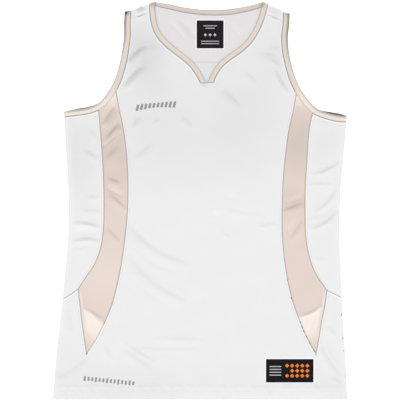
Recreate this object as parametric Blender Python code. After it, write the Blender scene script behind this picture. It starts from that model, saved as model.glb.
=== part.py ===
"""A sleeveless team jersey that lies flat on its back, built from the pieces a maker would cut and sew.

The back lies on the ground and folds forward over both shoulders and both sides. The front, its two
pointed inserts and the folded part of the back lie one layer higher. A binding runs round the V neck,
and a ring of binding round each armhole. Two labels lie on the cloth. Left is at -X, the hem at -Y.

Plan sizes below are in millimetres, from the middle of the garment. Neighbours share one line at each
seam and both keep half a gap from it.
"""

from collections import namedtuple

import bpy
import numpy as np
from mathutils.geometry import delaunay_2d_cdt

MM = 0.001

# Cloth
CLOTH = 1.2  # thickness of a panel
BINDING = 1.6  # thickness of the folded binding
LABEL = 1.0
GAP = 0.3  # between neighbours at a seam
BINDING_CLEAR = 0.17  # a binding keeps this far from its seam line
FOLD_RADIUS = 0.95  # at the middle of the cloth where it folds over
LAYER = 2 * FOLD_RADIUS  # underside of the front layer above the ground
TURN_OUT = 1.55  # how far a fold reaches past the line where the cloth starts to turn
HALF_TURN = np.pi * FOLD_RADIUS  # length of cloth in a whole fold

# Sizes in plan
HEM = -372.0
HEM_DEPTH = 23.5
HEM_EXTRA = 0.4  # the turned-up hem is thicker
HEM_STEP = 0.4  # half the width of the step up to it
HEM_END = 5.0  # where that step stops, inside each side
NECK_WIDTH = 10.4  # of the neck binding in front
ARM_WIDTH = 11.8  # of the armhole bindings
NECK_POINT = 219.0  # where the bindings end, at the bottom of the V
NECK_POINT_X = 13.0

# How finely shapes are divided
OUTLINE_STEP = 12.0
BINDING_STEP = 9.0
GRID_STEP = 18.0
FOLD_STEP = 22.0
GRID_CLEAR = 6.0  # loose points keep this far from outlines and rows
CREASE_CLEAR = 4.5  # and this far from each other beside a crease
ROW_END = 4.0  # rows along a fold stop this far short of the cloth's edges
CREASE_POINTS = 9
SIDE_POINTS = 12  # down each side of the skirt
FOLD_SHARES = (0, 0.25, 0.5, 0.75, 1)
MERGE = 1e-3  # points closer than this are one
SHARP = 40  # degrees

Edge = namedtuple("Edge", "y left right")
SIDE_EDGES = (
    Edge(-372, -275.0, 275.0),
    Edge(-283, -267.2, 271.0),
    Edge(-208, -259.2, 266.3),
    Edge(-133, -252.0, 262.6),
    Edge(-58, -246.6, 260.6),
    Edge(17, -246.0, 262.2),
    Edge(92, -250.4, 269.2),
    Edge(140, -253.2, 273.6),
    Edge(175, -255.5, 276.8),
)

# The silhouette of each shoulder, and how far the back comes forward over it to the shoulder seam
Shoulder = namedtuple("Shoulder", "neck_x neck_y arm_x arm_y yoke")
SHOULDERS = {
    "left": Shoulder(-83.3, 372.0, -141.6, 351.8, 17.5),
    "right": Shoulder(118.1, 371.6, 168.2, 348.5, 20.0),
}

# The free edge of the neck, from each shoulder to the V
NECK_EDGE = {
    "left": (
        (-83.3, 373.5), (-84.2, 355), (-83.2, 343.5), (-80.3, 328.5), (-74, 313.5), (-61.9, 298.5),
        (-44.5, 283.5), (-25, 268.5), (-9, 253.5), (1.6, 238.5), (NECK_POINT_X, NECK_POINT - 3),
    ),
    "right": (
        (118.6, 373), (114.8, 358.5), (111, 343.5), (105.2, 328.5), (97.6, 313.5), (87, 298.5),
        (70.6, 283.5), (49.5, 268.5), (32.6, 253.5), (22.6, 238.5), (NECK_POINT_X, NECK_POINT - 3),
    ),
}  # fmt: skip

# Across the back of the neck, between the shoulders: the free edge and the seam below it
BACK_NECK_EDGE = ((-56.3, 363.3), (-28, 356.7), (0, 353.9), (24, 353.9), (56, 356.2), (84.4, 361.4))
BACK_NECK_SEAM = (
    (-78.8, 360.7), (-56.3, 355), (-28, 348.8), (0, 345.5), (24, 345.6), (56, 347.7), (84.4, 352.2),
    (105.5, 357.8),
)  # fmt: skip

# The free edge of each armhole, from shoulder to side, and how far the back's edge stands out past it
Armhole = namedtuple("Armhole", "x y peek")
ARMHOLES = {
    "left": (
        Armhole(-141.2, 353.5, 0), Armhole(-142.5, 328.6, -0.8), Armhole(-142.5, 306, -0.8),
        Armhole(-145.2, 283.6, -0.8), Armhole(-150.9, 253.6, -0.8), Armhole(-160.3, 223.6, -0.8),
        Armhole(-174.2, 198.8, -0.8), Armhole(-190.1, 181, 0), Armhole(-206.3, 173.4, 1.2),
        Armhole(-227.6, 168.9, 1.8), Armhole(-257, 164.2, 0),
    ),
    "right": (
        Armhole(168.2, 350.0, 0), Armhole(167.5, 328.6, -0.8), Armhole(165, 306, -0.8),
        Armhole(165.9, 283.6, -0.8), Armhole(171.6, 253.6, -0.8), Armhole(180.9, 223.6, -0.8),
        Armhole(194.3, 198.3, -0.8), Armhole(210.4, 179.2, 0), Armhole(224.1, 169.6, 1.0),
        Armhole(243.8, 162.3, 2.0), Armhole(278.5, 154.9, 0),
    ),
}  # fmt: skip

# Seams of the pointed inserts. Each starts on the armhole binding's seam, at the x given as its start,
# and both end at the tip. The outer one turns at a corner, where the slanted side seam starts.
Insert = namedtuple("Insert", "inner_start inner outer_start outer corner tail tip side_seam")
INSERTS = {
    "left": Insert(
        inner_start=-157.5,
        inner=(
            (-151.9, 171), (-146.2, 144.8), (-139.6, 103.6), (-135.8, 58.6), (-134.9, 17.3),
            (-136.6, -31.4), (-141, -76.4), (-146.8, -117.7), (-155, -158.9), (-164.8, -196.4),
            (-177.6, -228.3), (-192.4, -258.5),
        ),
        outer_start=-190.3,
        outer=(
            (-187.3, 133.6), (-183.6, 88.6), (-180.6, 28.6), (-180, -16.4), (-181.3, -57.7),
            (-186.4, -91.4), (-197.6, -121.4), (-217, -150.4),
        ),
        corner=(-228.8, -168.6),
        tail=((-226.2, -188.9), (-221.8, -226.4), (-217.2, -260.2)),
        tip=(-212.6, -290.6),
        side_seam=((-240, -176.7), (-247.5, -181.6)),
    ),
    "right": Insert(
        inner_start=180.6,
        inner=(
            (174.2, 163.6), (167.2, 133.6), (161.3, 92), (156.9, 51.1), (154.2, -1.4),
            (153.8, -57.7), (155.8, -91.4), (159.3, -121.4), (164.2, -151.4), (171, -181.4),
            (180.4, -211.4), (192.2, -241.4), (206.6, -271.4),
        ),
        outer_start=211.1,
        outer=(
            (205.3, 133.6), (200.6, 73.6), (197.6, 28.6), (196.8, -29.5), (199, -76.4),
            (205, -108), (215.4, -136.4),
        ),
        corner=(238.1, -171.1),
        tail=((234.6, -196), (228.6, -226.4), (223.6, -256.4)),
        tip=(217.5, -290.2),
        side_seam=((249.5, -176.6), (258.6, -180.7)),
    ),
}  # fmt: skip
SIDE_SEAM_END = {"left": -187.5, "right": -184.5}

# Labels: middle and size in plan
Label = namedtuple("Label", "x y width depth")
HEM_LABEL = Label(168.1, -321.3, 91.0, 45.0)
NECK_LABEL = Label(19.0, 309.6, 53.0, 54.6)

# The cloth's soft rise between its edges, and the largest folds: a straight or bowed axis, the height
# at its middle (a trough is negative) and how far it reaches to each side.
PUFF = 2.3
PUFF_REACH = 75.0
EDGE_REACH = 22.0
CREASE_END = 0.7  # below 1, a crease keeps more of its depth towards its ends
Crease = namedtuple("Crease", "x y end_x end_y bow height reach")
CREASES = (
    # centre front
    Crease(-131, -50, -20, -121, -13, -2.2, 13),
    Crease(-134, -72, -40, -136, -12, 1.9, 14),
    Crease(-132, -108, -28, -192, -9, -2.1, 13),
    Crease(-140, -128, -52, -200, -8, 1.6, 13),
    Crease(-134, 252, -92, 286, 4, -1.8, 10),
    Crease(-146, 208, -106, 240, 0, -1.8, 10),
    Crease(-122, 78, -88, 106, 0, -1.5, 10),
    Crease(126, 268, 176, 196, 4, -2.0, 12),
    Crease(140, 272, 184, 212, 4, 1.5, 11),
    Crease(42, 202, 78, 170, 0, -1.6, 10),
    Crease(52, 178, 84, 154, 0, 1.6, 12),
    Crease(108, -52, 142, -44, 0, -1.4, 10),
    Crease(-95, -262, 16, -266, 3, -1.3, 12),
    Crease(-146, -282, -84, -314, 3, -1.6, 12),
    Crease(-210, -300, -258, -334, 0, -1.6, 12),
    Crease(234, -268, 268, -332, 5, -1.8, 12),
    # folded side fronts
    Crease(-236, -44, -190, -53, 0, -1.9, 9),
    Crease(-240, -80, -190, -76, 3, -1.9, 9),
    Crease(-238, -62, -194, -64, 0, 1.6, 9),
    Crease(-218, 96, -190, 74, 0, -1.4, 9),
    Crease(214, -60, 255, -26, -3, -2.0, 10),
    Crease(214, 47, 262, 70, -4, -1.6, 9),
    Crease(212, -20, 258, 18, -3, -1.7, 9),
    Crease(216, -40, 252, -8, -3, 1.5, 10),
    # inserts
    Crease(-182, 100, -150, 142, 0, -2.0, 10),
    Crease(-176, 84, -146, 122, 0, 1.6, 10),
    Crease(-172, 10, -136, -22, 0, -2.0, 10),
    Crease(-218, -204, -178, -227, 0, -2.0, 9),
    Crease(156, -24, 192, -6, 0, -1.8, 9),
    Crease(168, -76, 196, -36, 0, -1.6, 9),
    Crease(186, -222, 234, -198, -3, -2.0, 9),
)

Finish = namedtuple("Finish", "name colour roughness")
WHITE_KNIT = Finish("white_knit", (0.83, 0.83, 0.84), 0.75)
CHAMPAGNE_SATIN = Finish("champagne_satin", (0.76, 0.67, 0.59), 0.45)
CHAMPAGNE_RIB = Finish("champagne_rib", (0.80, 0.71, 0.63), 0.6)
BLACK_LABEL = Finish("black_label", (0.012, 0.011, 0.014), 0.4)


# ---------------------------------------------------------------- lines in plan


def along(line):
    """Distance along a line at each of its points."""
    return np.concatenate([[0], np.cumsum(np.linalg.norm(np.diff(line, axis=0), axis=1))])


def hermite(knots, values, at):
    """A smooth function through values at knots: cubic pieces whose slopes come from the neighbours."""
    slopes = np.gradient(values, knots, axis=0)
    i = np.clip(np.searchsorted(knots, at, side="right") - 1, 0, len(knots) - 2)
    width = knots[i + 1] - knots[i]
    u = (at - knots[i]) / width
    if values.ndim > 1:
        width, u = width[:, None], u[:, None]
    return (
        values[i] * (1 + 2 * u) * (1 - u) ** 2
        + values[i + 1] * (3 - 2 * u) * u**2
        + slopes[i] * width * u * (1 - u) ** 2
        - slopes[i + 1] * width * (1 - u) * u**2
    )


def curve(points, step=OUTLINE_STEP):
    """A smooth line through points, divided evenly."""
    points = np.array([p[:2] for p in points], float)
    at = along(points)
    count = max(2, round(at[-1] / step) + 1)
    return hermite(at, points, np.linspace(0, at[-1], count))


def divided(line, count):
    """The same line with this many points, evenly spaced."""
    at = along(line)
    even = np.linspace(0, at[-1], count)
    return np.column_stack([np.interp(even, at, line[:, k]) for k in (0, 1)])


def beside(line, distance):
    """A line at a distance to the left of another, as seen when going along it. The distance may vary."""
    forward = np.gradient(line, along(line), axis=0)
    forward /= np.linalg.norm(forward, axis=1)[:, None]
    return line + np.column_stack([-forward[:, 1], forward[:, 0]]) * np.reshape(distance, (-1, 1))


def trimmed(line, measure):
    """The stretch of a line where measure(points) is above 0, ended exactly where it is 0."""
    far = measure(line)
    kept = np.flatnonzero(far > 0)
    first, last = kept[0], kept[-1]

    def crossing(i):
        return line[i : i + 1] + far[i] / (far[i] - far[i + 1]) * (line[i + 1] - line[i])

    before = [crossing(first - 1)] if first > 0 else []
    after = [crossing(last)] if last < len(line) - 1 else []
    return np.concatenate([*before, line[first : last + 1], *after])


def joined(*lines):
    """One line from several that meet end to end, without the doubled points."""
    points = np.concatenate(lines)
    step = np.linalg.norm(np.diff(points, axis=0, append=points[:1]), axis=1)
    return points[step > MERGE]


def inset(outline, distance):
    """A closed outline moved inwards, with mitred corners. The outline runs anticlockwise."""
    forward = np.roll(outline, -1, axis=0) - outline
    forward /= np.linalg.norm(forward, axis=1)[:, None]
    inward = np.column_stack([-forward[:, 1], forward[:, 0]])
    before = np.roll(inward, 1, axis=0)
    return outline + distance * (before + inward) / (1 + (before * inward).sum(1))[:, None]


def distance_to(points, line):
    """Shortest distance from each point to a line."""
    a, b = line[:-1], line[1:]
    span = b - a
    share = ((points[:, None] - a) * span).sum(2) / (span**2).sum(1)
    nearest = a + np.clip(share, 0, 1)[..., None] * span
    return np.linalg.norm(points[:, None] - nearest, axis=2).min(1)


def inside(points, outline):
    """Which points a closed outline holds: those whose ray to the right crosses it an odd number of times."""
    a, b = outline, np.roll(outline, -1, axis=0)
    straddles = (a[:, 1] > points[:, None, 1]) != (b[:, 1] > points[:, None, 1])
    rise = np.where(b[:, 1] == a[:, 1], 1, b[:, 1] - a[:, 1])
    crossing = a[:, 0] + (points[:, None, 1] - a[:, 1]) * (b[:, 0] - a[:, 0]) / rise
    return (straddles & (points[:, None, 0] < crossing)).sum(1) % 2 == 1


def smooth(share):
    """0 to 1 with soft ends."""
    share = np.clip(share, 0, 1)
    return share * share * (3 - 2 * share)


# ---------------------------------------------------------------- folds


SIDES = {"left": -1.0, "right": 1.0}  # and which way is out


def side_x(side, y):
    """Where the cloth ends at a side, at one height or several."""
    knots = np.array([row.y for row in SIDE_EDGES], float)
    return hermite(knots, np.array([getattr(row, side) for row in SIDE_EDGES]), np.atleast_1d(y))


def side_line(side, high, low, out=0.0, count=2):
    """Points down a side, moved out by a distance."""
    y = np.linspace(high, low, count)
    return np.column_stack([side_x(side, y) + SIDES[side] * out, y])


def over_side(side):
    """How far points lie past the line where the cloth turns at a side, and the way out there."""
    out = SIDES[side]

    def measure(points):
        beyond = out * (points[:, 0] - side_x(side, points[:, 1])) + TURN_OUT
        return beyond, np.tile([out, 0.0], (len(points), 1))

    return measure


def over_shoulder(side):
    """The same over a shoulder, whose silhouette is one straight line."""
    row = SHOULDERS[side]
    neck, arm = np.array([row.neck_x, row.neck_y]), np.array([row.arm_x, row.arm_y])
    slope = (neck - arm) / np.linalg.norm(neck - arm)
    out = np.array([-slope[1], slope[0]])
    out *= np.sign(out[1])

    def measure(points):
        return (points - neck) @ out + TURN_OUT, np.tile(out, (len(points), 1))

    return measure


FOLDS = {
    (place, side): make(side)
    for place, make in (("side", over_side), ("shoulder", over_shoulder))
    for side in SIDES
}


def within(fold):
    """A measure for trimmed(): how far points lie inside a fold line."""
    return lambda points: -fold(points)[0]


def below_yoke(side):
    """A measure for trimmed(): how far points lie below the seam in front of a shoulder."""
    return lambda points: TURN_OUT - SHOULDERS[side].yoke - FOLDS["shoulder", side](points)[0]


def in_yoke(side):
    return lambda points: -below_yoke(side)(points)


def opened(points, fold):
    """Where points of the front layer lie in the flat cloth, before it is folded forward."""
    beyond, out = fold(points)
    return points + out * (HALF_TURN - 2 * beyond)[:, None]


def across(point, fold):
    """The flat cloth's points from a fold line out over the fold, from the back layer to the front."""
    out = fold(point[None])[1][0]
    return point + np.outer(HALF_TURN * np.array(FOLD_SHARES[1:-1]), out)


def turned(plan, turn, out, thickness, lift):
    """Outer and inner points of cloth. The turn is 0 in the back layer and half a circle in the front one."""
    sideways = out * np.sin(turn)[:, None]
    level = thickness / 2 + FOLD_RADIUS * (1 - np.cos(turn)) + lift
    middle = np.column_stack([plan + FOLD_RADIUS * sideways, level])
    outwards = np.column_stack([sideways, -np.cos(turn)]) * thickness / 2
    return middle + outwards, middle - outwards


# ---------------------------------------------------------------- the shared seams


def above(level):
    """A measure for trimmed(): how far points lie above a level of the plan."""
    return lambda points: points[:, 1] - level


def neck_lines(side):
    """Free edge and seam of the front neck binding, from the shoulder fold down to the V."""
    edge = curve(NECK_EDGE[side], BINDING_STEP)
    seam = beside(edge, NECK_WIDTH * SIDES[side])
    fold = FOLDS["shoulder", side]
    return trimmed(edge, within(fold)), trimmed(trimmed(seam, within(fold)), above(NECK_POINT))


def armhole_lines(side):
    """Free edges and seams of an armhole binding, front and back, from shoulder fold to side fold."""
    rows = ARMHOLES[side]
    plain = np.array([(row.x, row.y) for row in rows])
    front_edge = curve(rows, BINDING_STEP)
    peek = np.interp(along(front_edge), along(plain), [row.peek for row in rows])
    lines = []
    for edge in (front_edge, beside(front_edge, SIDES[side] * peek)):
        for line in (edge, beside(edge, -SIDES[side] * ARM_WIDTH)):
            line = trimmed(line, within(FOLDS["shoulder", side]))
            lines.append(trimmed(line, within(FOLDS["side", side])))
    return lines


NECK = {side: neck_lines(side) for side in SIDES}
ARM = {side: armhole_lines(side) for side in SIDES}


def back_neck_lines():
    """Free edge and seam across the back of the neck, from the left shoulder fold to the right one."""
    lines = []
    for part, points in ((0, BACK_NECK_EDGE), (1, BACK_NECK_SEAM)):
        ends = [NECK[side][part][0] for side in SIDES]
        lines.append(curve([ends[0], *points, ends[1]], BINDING_STEP))
    return lines


BACK_NECK = back_neck_lines()


def insert_lines(side):
    """The seams round an insert: inner, outer, tail, the side seam, and the armhole seam in three."""
    row = INSERTS[side]
    seam = ARM[side][1]
    out = SIDES[side]

    def past(x):
        return lambda points: out * (points[:, 0] - x)

    def short_of(x):
        return lambda points: -out * (points[:, 0] - x)

    to_front = trimmed(seam, short_of(row.inner_start))
    to_insert = trimmed(trimmed(seam, past(row.inner_start)), short_of(row.outer_start))
    to_side = trimmed(seam, past(row.outer_start))
    inner = curve([to_front[-1], *row.inner, row.tip])
    outer = curve([to_side[0], *row.outer, row.corner])
    tail = curve([row.corner, *row.tail, row.tip])
    end = side_line(side, SIDE_SEAM_END[side], HEM, -TURN_OUT)[0]
    side_seam = curve([row.corner, *row.side_seam, end])
    return dict(
        inner=inner, outer=outer, tail=tail, side_seam=side_seam,
        to_front=to_front, to_insert=to_insert, to_side=to_side,
    )  # fmt: skip


SEAMS = {side: insert_lines(side) for side in SIDES}


# ---------------------------------------------------------------- the cloth's rise


def axis_of(crease):
    """Points along a crease: a straight line bowed sideways in the middle."""
    start, end = np.array([crease.x, crease.y]), np.array([crease.end_x, crease.end_y])
    share = np.linspace(0, 1, CREASE_POINTS)[:, None]
    across_it = np.array([start[1] - end[1], end[0] - start[0]]) / np.linalg.norm(end - start)
    return start + share * (end - start) + across_it * crease.bow * 4 * share * (1 - share)


SILHOUETTE = [
    *[np.array([(getattr(row, side), row.y) for row in SIDE_EDGES]) for side in SIDES],
    *[np.array([(row.neck_x, row.neck_y), (row.arm_x, row.arm_y)]) for row in SHOULDERS.values()],
    *[NECK[side][0] for side in SIDES],
    *[ARM[side][0] for side in SIDES],
    np.array([(SIDE_EDGES[0].left, HEM), (SIDE_EDGES[0].right, HEM)]),
]


def rise(points):
    """How far the front layer stands above its lowest level: a soft puff with creases, 0 at all edges."""
    to_edge = np.min([distance_to(points, line) for line in SILHOUETTE], axis=0)
    height = PUFF * smooth(to_edge / PUFF_REACH)
    for crease in CREASES:
        axis = axis_of(crease)
        start, end = axis[0], axis[-1]
        length = np.linalg.norm(end - start)
        share = np.clip(((points - start) @ (end - start)) / length**2, 0, 1)
        fade = np.sin(np.pi * share) ** CREASE_END
        near = np.clip(distance_to(points, axis) / crease.reach, 0, 1)
        height = height + crease.height * fade * (0.5 + 0.5 * np.cos(np.pi * near))
    return np.maximum(height, 0) * smooth(to_edge / EDGE_REACH)


def thinned(points, clear, kept=()):
    """Those points that are clear of every earlier one, and of the ones already kept."""
    kept = list(kept)
    for point in points:
        if not kept or np.linalg.norm(np.array(kept) - point, axis=1).min() > clear:
            kept.append(point)
    return kept


def grid_points():
    """Points that carry the front layer's form: rows along each crease, and an even grid between them."""
    creases = []
    for crease in CREASES:
        axis = axis_of(crease)
        axis = divided(axis, max(3, round(along(axis)[-1] / OUTLINE_STEP) + 1))
        creases += [beside(axis, share * crease.reach) for share in (0, -0.5, 0.5, -1, 1)]
    even = []
    top, right = SHOULDERS["left"].neck_y, SIDE_EDGES[-1].right
    for i, y in enumerate(np.arange(HEM + GRID_STEP / 2, top, GRID_STEP * np.sqrt(3) / 2)):
        x = np.arange(-right + (i % 2) * GRID_STEP / 2, right, GRID_STEP)
        even.append(np.column_stack([x, np.full(len(x), y)]))
    kept = thinned(np.concatenate(creases), CREASE_CLEAR)
    return np.array(thinned(np.concatenate(even), GRID_STEP / 2, kept))


GRID = grid_points()


# ---------------------------------------------------------------- meshes


def material(finish):
    made = bpy.data.materials.get(finish.name) or bpy.data.materials.new(finish.name)
    made.use_nodes = True
    shader = made.node_tree.nodes["Principled BSDF"]
    shader.inputs["Base Color"].default_value = (*finish.colour, 1)
    shader.inputs["Roughness"].default_value = finish.roughness
    shader.inputs["Metallic"].default_value = 0
    return made


def add_object(name, points, faces, finish):
    mesh = bpy.data.meshes.new(name)
    mesh.from_pydata((np.asarray(points) * MM).tolist(), [], faces)
    mesh.materials.append(material(finish))
    mesh.validate()
    mesh.shade_smooth()
    mesh.set_sharp_from_angle(angle=np.radians(SHARP))
    bpy.context.collection.objects.link(bpy.data.objects.new(name, mesh))


def triangulated(outline, loose, rows):
    """Triangles that fill an outline, through loose points and along rows of points."""
    points = [*outline, *loose]
    edges = []
    for row in rows:
        first = len(points)
        points += list(row)
        edges += [(first + i, first + i + 1) for i in range(len(row) - 1)]
    inner_only = 1
    result = delaunay_2d_cdt(
        np.array(points).tolist(), edges, [list(range(len(outline)))], inner_only, MERGE
    )
    return np.array(result[0], float).reshape(-1, 2), [tuple(face) for face in result[2]]


def wall(name, top, bottom, triangles, finish):
    """A closed wall between two surfaces of the same triangles, with a rim along their open edges."""
    count = len(top)
    sides = [(a, b) for t in triangles for a, b in zip(t, t[1:] + t[:1])]
    open_sides = set(sides) - {(b, a) for a, b in sides}
    faces = list(triangles)
    faces += [tuple(count + i for i in reversed(t)) for t in triangles]
    faces += [(count + a, count + b, b, a) for a, b in sorted(open_sides)]
    add_object(name, np.concatenate([top, bottom]), faces, finish)


def candidates(points, outline, rows=(), clear=GRID_CLEAR):
    """Those points that lie inside an outline and clear of it and of the rows."""
    points = points[inside(points, outline)]
    for line in (np.concatenate([outline, outline[:1]]), *rows):
        points = points[distance_to(points, line) > clear]
    return points


def fold_rows(fold, ends, shares):
    """Rows of points along a fold, in the flat cloth: each lies a share of the half turn past its line."""
    start, end = ends
    span = end - start
    length = np.linalg.norm(span)
    count = max(2, round(length / FOLD_STEP) + 1)
    straight = np.linspace(start + span * ROW_END / length, end - span * ROW_END / length, count)
    beyond, out = fold(straight)
    line = straight - out * beyond[:, None]
    return [line + out * (HALF_TURN * share) for share in shares]


def label_outline(label):
    x, y = label.width / 2, label.depth / 2
    corners = np.array([(-x, -y), (x, -y), (x, y), (-x, y), (-x, -y)]) + (label.x, label.y)
    sides = [
        np.linspace(a, b, max(2, round(np.linalg.norm(b - a) / OUTLINE_STEP) + 1))
        for a, b in zip(corners, corners[1:])
    ]
    return joined(*sides)


def skirt_edge(side, high, low):
    """The cloth's edge down a side below the side seam: it turns a quarter circle from the fold line."""
    return side_line(side, high, low, HALF_TURN / 2 - TURN_OUT, SIDE_POINTS)


def front_outline():
    """The centre front with its skirt, anticlockwise from the left of the neck."""
    halves = []
    for side in SIDES:
        seams = SEAMS[side]
        halves.append([
            trimmed(NECK[side][1], below_yoke(side))[::-1],
            trimmed(seams["to_front"], below_yoke(side)),
            seams["inner"],
            seams["tail"][::-1],
            seams["side_seam"],
            skirt_edge(side, SIDE_SEAM_END[side], HEM),
        ])  # fmt: skip
    left, right = halves
    return joined(*left, *[line[::-1] for line in reversed(right)])


def make_front():
    outline = inset(front_outline(), GAP / 2)
    hem_line = HEM + HEM_DEPTH
    start, end = side_x("left", hem_line)[0] + HEM_END, side_x("right", hem_line)[0] - HEM_END
    hem_x = np.linspace(start, end, round((end - start) / FOLD_STEP) + 1)
    rows = [np.column_stack([hem_x, np.full(len(hem_x), hem_line + s)]) for s in (HEM_STEP, -HEM_STEP)]
    label = label_outline(HEM_LABEL)
    rows.append(np.concatenate([label, label[:1]]))
    for side in SIDES:
        rows += fold_rows(FOLDS["side", side], side_line(side, SIDE_SEAM_END[side], HEM), (0, 0.25))
    plan, triangles = triangulated(outline, candidates(GRID, outline, rows), rows)
    beyond = np.max([FOLDS["side", side](plan)[0] for side in SIDES], axis=0)
    place_front("front", plan, triangles, beyond, WHITE_KNIT)


def place_front(name, plan, triangles, beyond, finish):
    """Lays a piece of the front layer, its side edges turned down by up to a quarter circle."""
    over = np.maximum(beyond, 0)
    out = np.column_stack([np.sign(plan[:, 0]), np.zeros(len(plan))])
    flat = plan - out * over[:, None]
    lift = np.where(over > 0, 0, rise(flat))
    outer, inner = turned(flat, np.pi - over / FOLD_RADIUS, out, CLOTH, lift)
    in_hem = (plan[:, 1] < HEM + HEM_DEPTH) & (beyond < -HEM_END / 2)
    outer[in_hem, 2] += HEM_EXTRA
    wall(name, outer, inner, triangles, finish)


def make_insert(side):
    seams = SEAMS[side]
    outline = joined(seams["to_insert"], seams["outer"], seams["tail"], seams["inner"][::-1])
    if side == "right":
        outline = outline[::-1]
    outline = inset(outline, GAP / 2)
    plan, triangles = triangulated(outline, candidates(GRID, outline, clear=CREASE_CLEAR), [])
    place_front(f"insert_{side}", plan, triangles, np.zeros(len(plan)), CHAMPAGNE_SATIN)


def back_half(side):
    """The flat back's outline on one side, from the hem up to the neck seam."""
    seams, fold, shoulder = SEAMS[side], FOLDS["side", side], FOLDS["shoulder", side]
    front_seam, back_seam = ARM[side][1], ARM[side][3]
    return [
        skirt_edge(side, HEM, SIDE_SEAM_END[side]),
        opened(seams["side_seam"][::-1], fold),
        opened(seams["outer"][::-1], fold),
        opened(seams["to_side"], fold),
        across(front_seam[-1], fold)[::-1],
        back_seam[::-1],
        across(front_seam[0], shoulder),
        opened(trimmed(seams["to_front"], in_yoke(side)), shoulder),
        opened(trimmed(NECK[side][1], in_yoke(side))[::-1], shoulder),
        across(NECK[side][1][0], shoulder)[::-1],
    ]


def make_back():
    left, right = back_half("left"), back_half("right")
    outline = joined(*right, BACK_NECK[1][::-1], *[line[::-1] for line in reversed(left)])
    outline = inset(outline, GAP / 2)
    rows, loose = [], []
    for side in SIDES:
        fold, seam_end, arm_seam = FOLDS["side", side], SIDE_SEAM_END[side], ARM[side][1]
        rows += fold_rows(FOLDS["shoulder", side], (NECK[side][1][0], arm_seam[0]), FOLD_SHARES)
        rows += fold_rows(fold, side_line(side, arm_seam[-1][1], seam_end), FOLD_SHARES)
        rows += fold_rows(fold, side_line(side, seam_end, HEM), (0, 0.25))
        for over in (FOLDS["shoulder", side], fold):
            front_layer = GRID[over(GRID)[0] < 0]
            loose.append(opened(front_layer, over))
    flat, triangles = triangulated(outline, candidates(np.concatenate(loose), outline, rows), rows)
    plan, turn, out = flat.copy(), np.zeros(len(flat)), np.zeros((len(flat), 2))
    for fold in FOLDS.values():
        beyond, outwards = fold(flat)
        over = beyond > 0
        back_over = np.maximum(beyond - HALF_TURN, 0)
        plan[over] = (flat - outwards * (beyond + back_over)[:, None])[over]
        turn[over] = np.minimum(beyond / FOLD_RADIUS, np.pi)[over]
        out[over] = outwards[over]
    lift = np.where(turn == np.pi, rise(plan), 0)
    outer, inner = turned(plan, turn, out, CLOTH, lift)
    wall("back", inner, outer, triangles, WHITE_KNIT)


def arc_stations(seam, edge, fold, forward):
    """Stations round a fold between the layers. Going forward they run from the back layer to the front."""
    turns = np.pi * np.array(FOLD_SHARES[1:-1] if forward else FOLD_SHARES[-2:0:-1])
    points = [np.tile(point, (len(turns), 1)) for point in (seam, edge, fold(seam[None])[1])]
    return points[0], points[1], turns, points[2]


def flat_stations(seam, edge, turn):
    """Stations along a flat stretch, at the seam line's own points."""
    count = len(seam)
    return seam, divided(edge, count), np.full(count, turn), np.zeros((count, 2))


def make_binding(name, stretches, closed):
    """A strip carried along its stations, each with four corners: seam and edge, outer and inner."""
    seam, edge, turn, out = (np.concatenate(part) for part in zip(*stretches))
    rung = edge - seam
    rung /= np.linalg.norm(rung, axis=1)[:, None]
    seam = seam + rung * BINDING_CLEAR
    lift = [np.where(turn == np.pi, rise(line), 0) for line in (seam, edge)]
    seam_outer, seam_inner = turned(seam, turn, out, BINDING, lift[0])
    edge_outer, edge_inner = turned(edge, turn, out, BINDING, lift[1])
    count = len(seam)
    points = np.stack([seam_outer, edge_outer, edge_inner, seam_inner], axis=1).reshape(-1, 3)
    faces = []
    for i in range(count if closed else count - 1):
        here, there = 4 * i, 4 * ((i + 1) % count)
        faces += [(here + k, here + (k + 1) % 4, there + (k + 1) % 4, there + k) for k in range(4)]
    if not closed:
        faces += [(3, 2, 1, 0), tuple(4 * (count - 1) + k for k in range(4))]
    if signed_volume(points, faces) < 0:
        faces = [face[::-1] for face in faces]
    add_object(name, points, faces, CHAMPAGNE_RIB)


def signed_volume(points, faces):
    """Above 0 when four-sided faces look outwards."""
    a, b, c, d = np.moveaxis(points[np.array(faces)], 1, 0)
    return (a * (np.cross(b, c) + np.cross(c, d))).sum()


def make_neck_binding():
    ends = {}
    for side in SIDES:
        seam, edge = (trimmed(line, above(NECK_POINT + GAP / 2)) for line in reversed(NECK[side]))
        edge[-1, 0] = NECK_POINT_X + SIDES[side] * GAP / 2
        ends[side] = seam, edge
    left_seam, left_edge = ends["left"]
    right_seam, right_edge = ends["right"]
    stretches = [
        flat_stations(left_seam[::-1], left_edge[::-1], np.pi),
        arc_stations(left_seam[0], left_edge[0], FOLDS["shoulder", "left"], False),
        flat_stations(BACK_NECK[1], BACK_NECK[0], 0.0),
        arc_stations(right_seam[0], right_edge[0], FOLDS["shoulder", "right"], True),
        flat_stations(right_seam, right_edge, np.pi),
    ]
    make_binding("neck_binding", stretches, closed=False)


def make_armhole_binding(side):
    front_edge, front_seam, back_edge, back_seam = ARM[side]
    shoulder, fold, seams = FOLDS["shoulder", side], FOLDS["side", side], SEAMS[side]
    seam = joined(seams["to_front"], seams["to_insert"], seams["to_side"], front_seam[-1:])
    stretches = [
        flat_stations(seam, front_edge, np.pi),
        arc_stations(front_seam[-1], front_edge[-1], fold, False),
        flat_stations(back_seam[::-1], back_edge[::-1], 0.0),
        arc_stations(front_seam[0], front_edge[0], shoulder, True),
    ]
    make_binding(f"armhole_binding_{side}", stretches, closed=True)


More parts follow.
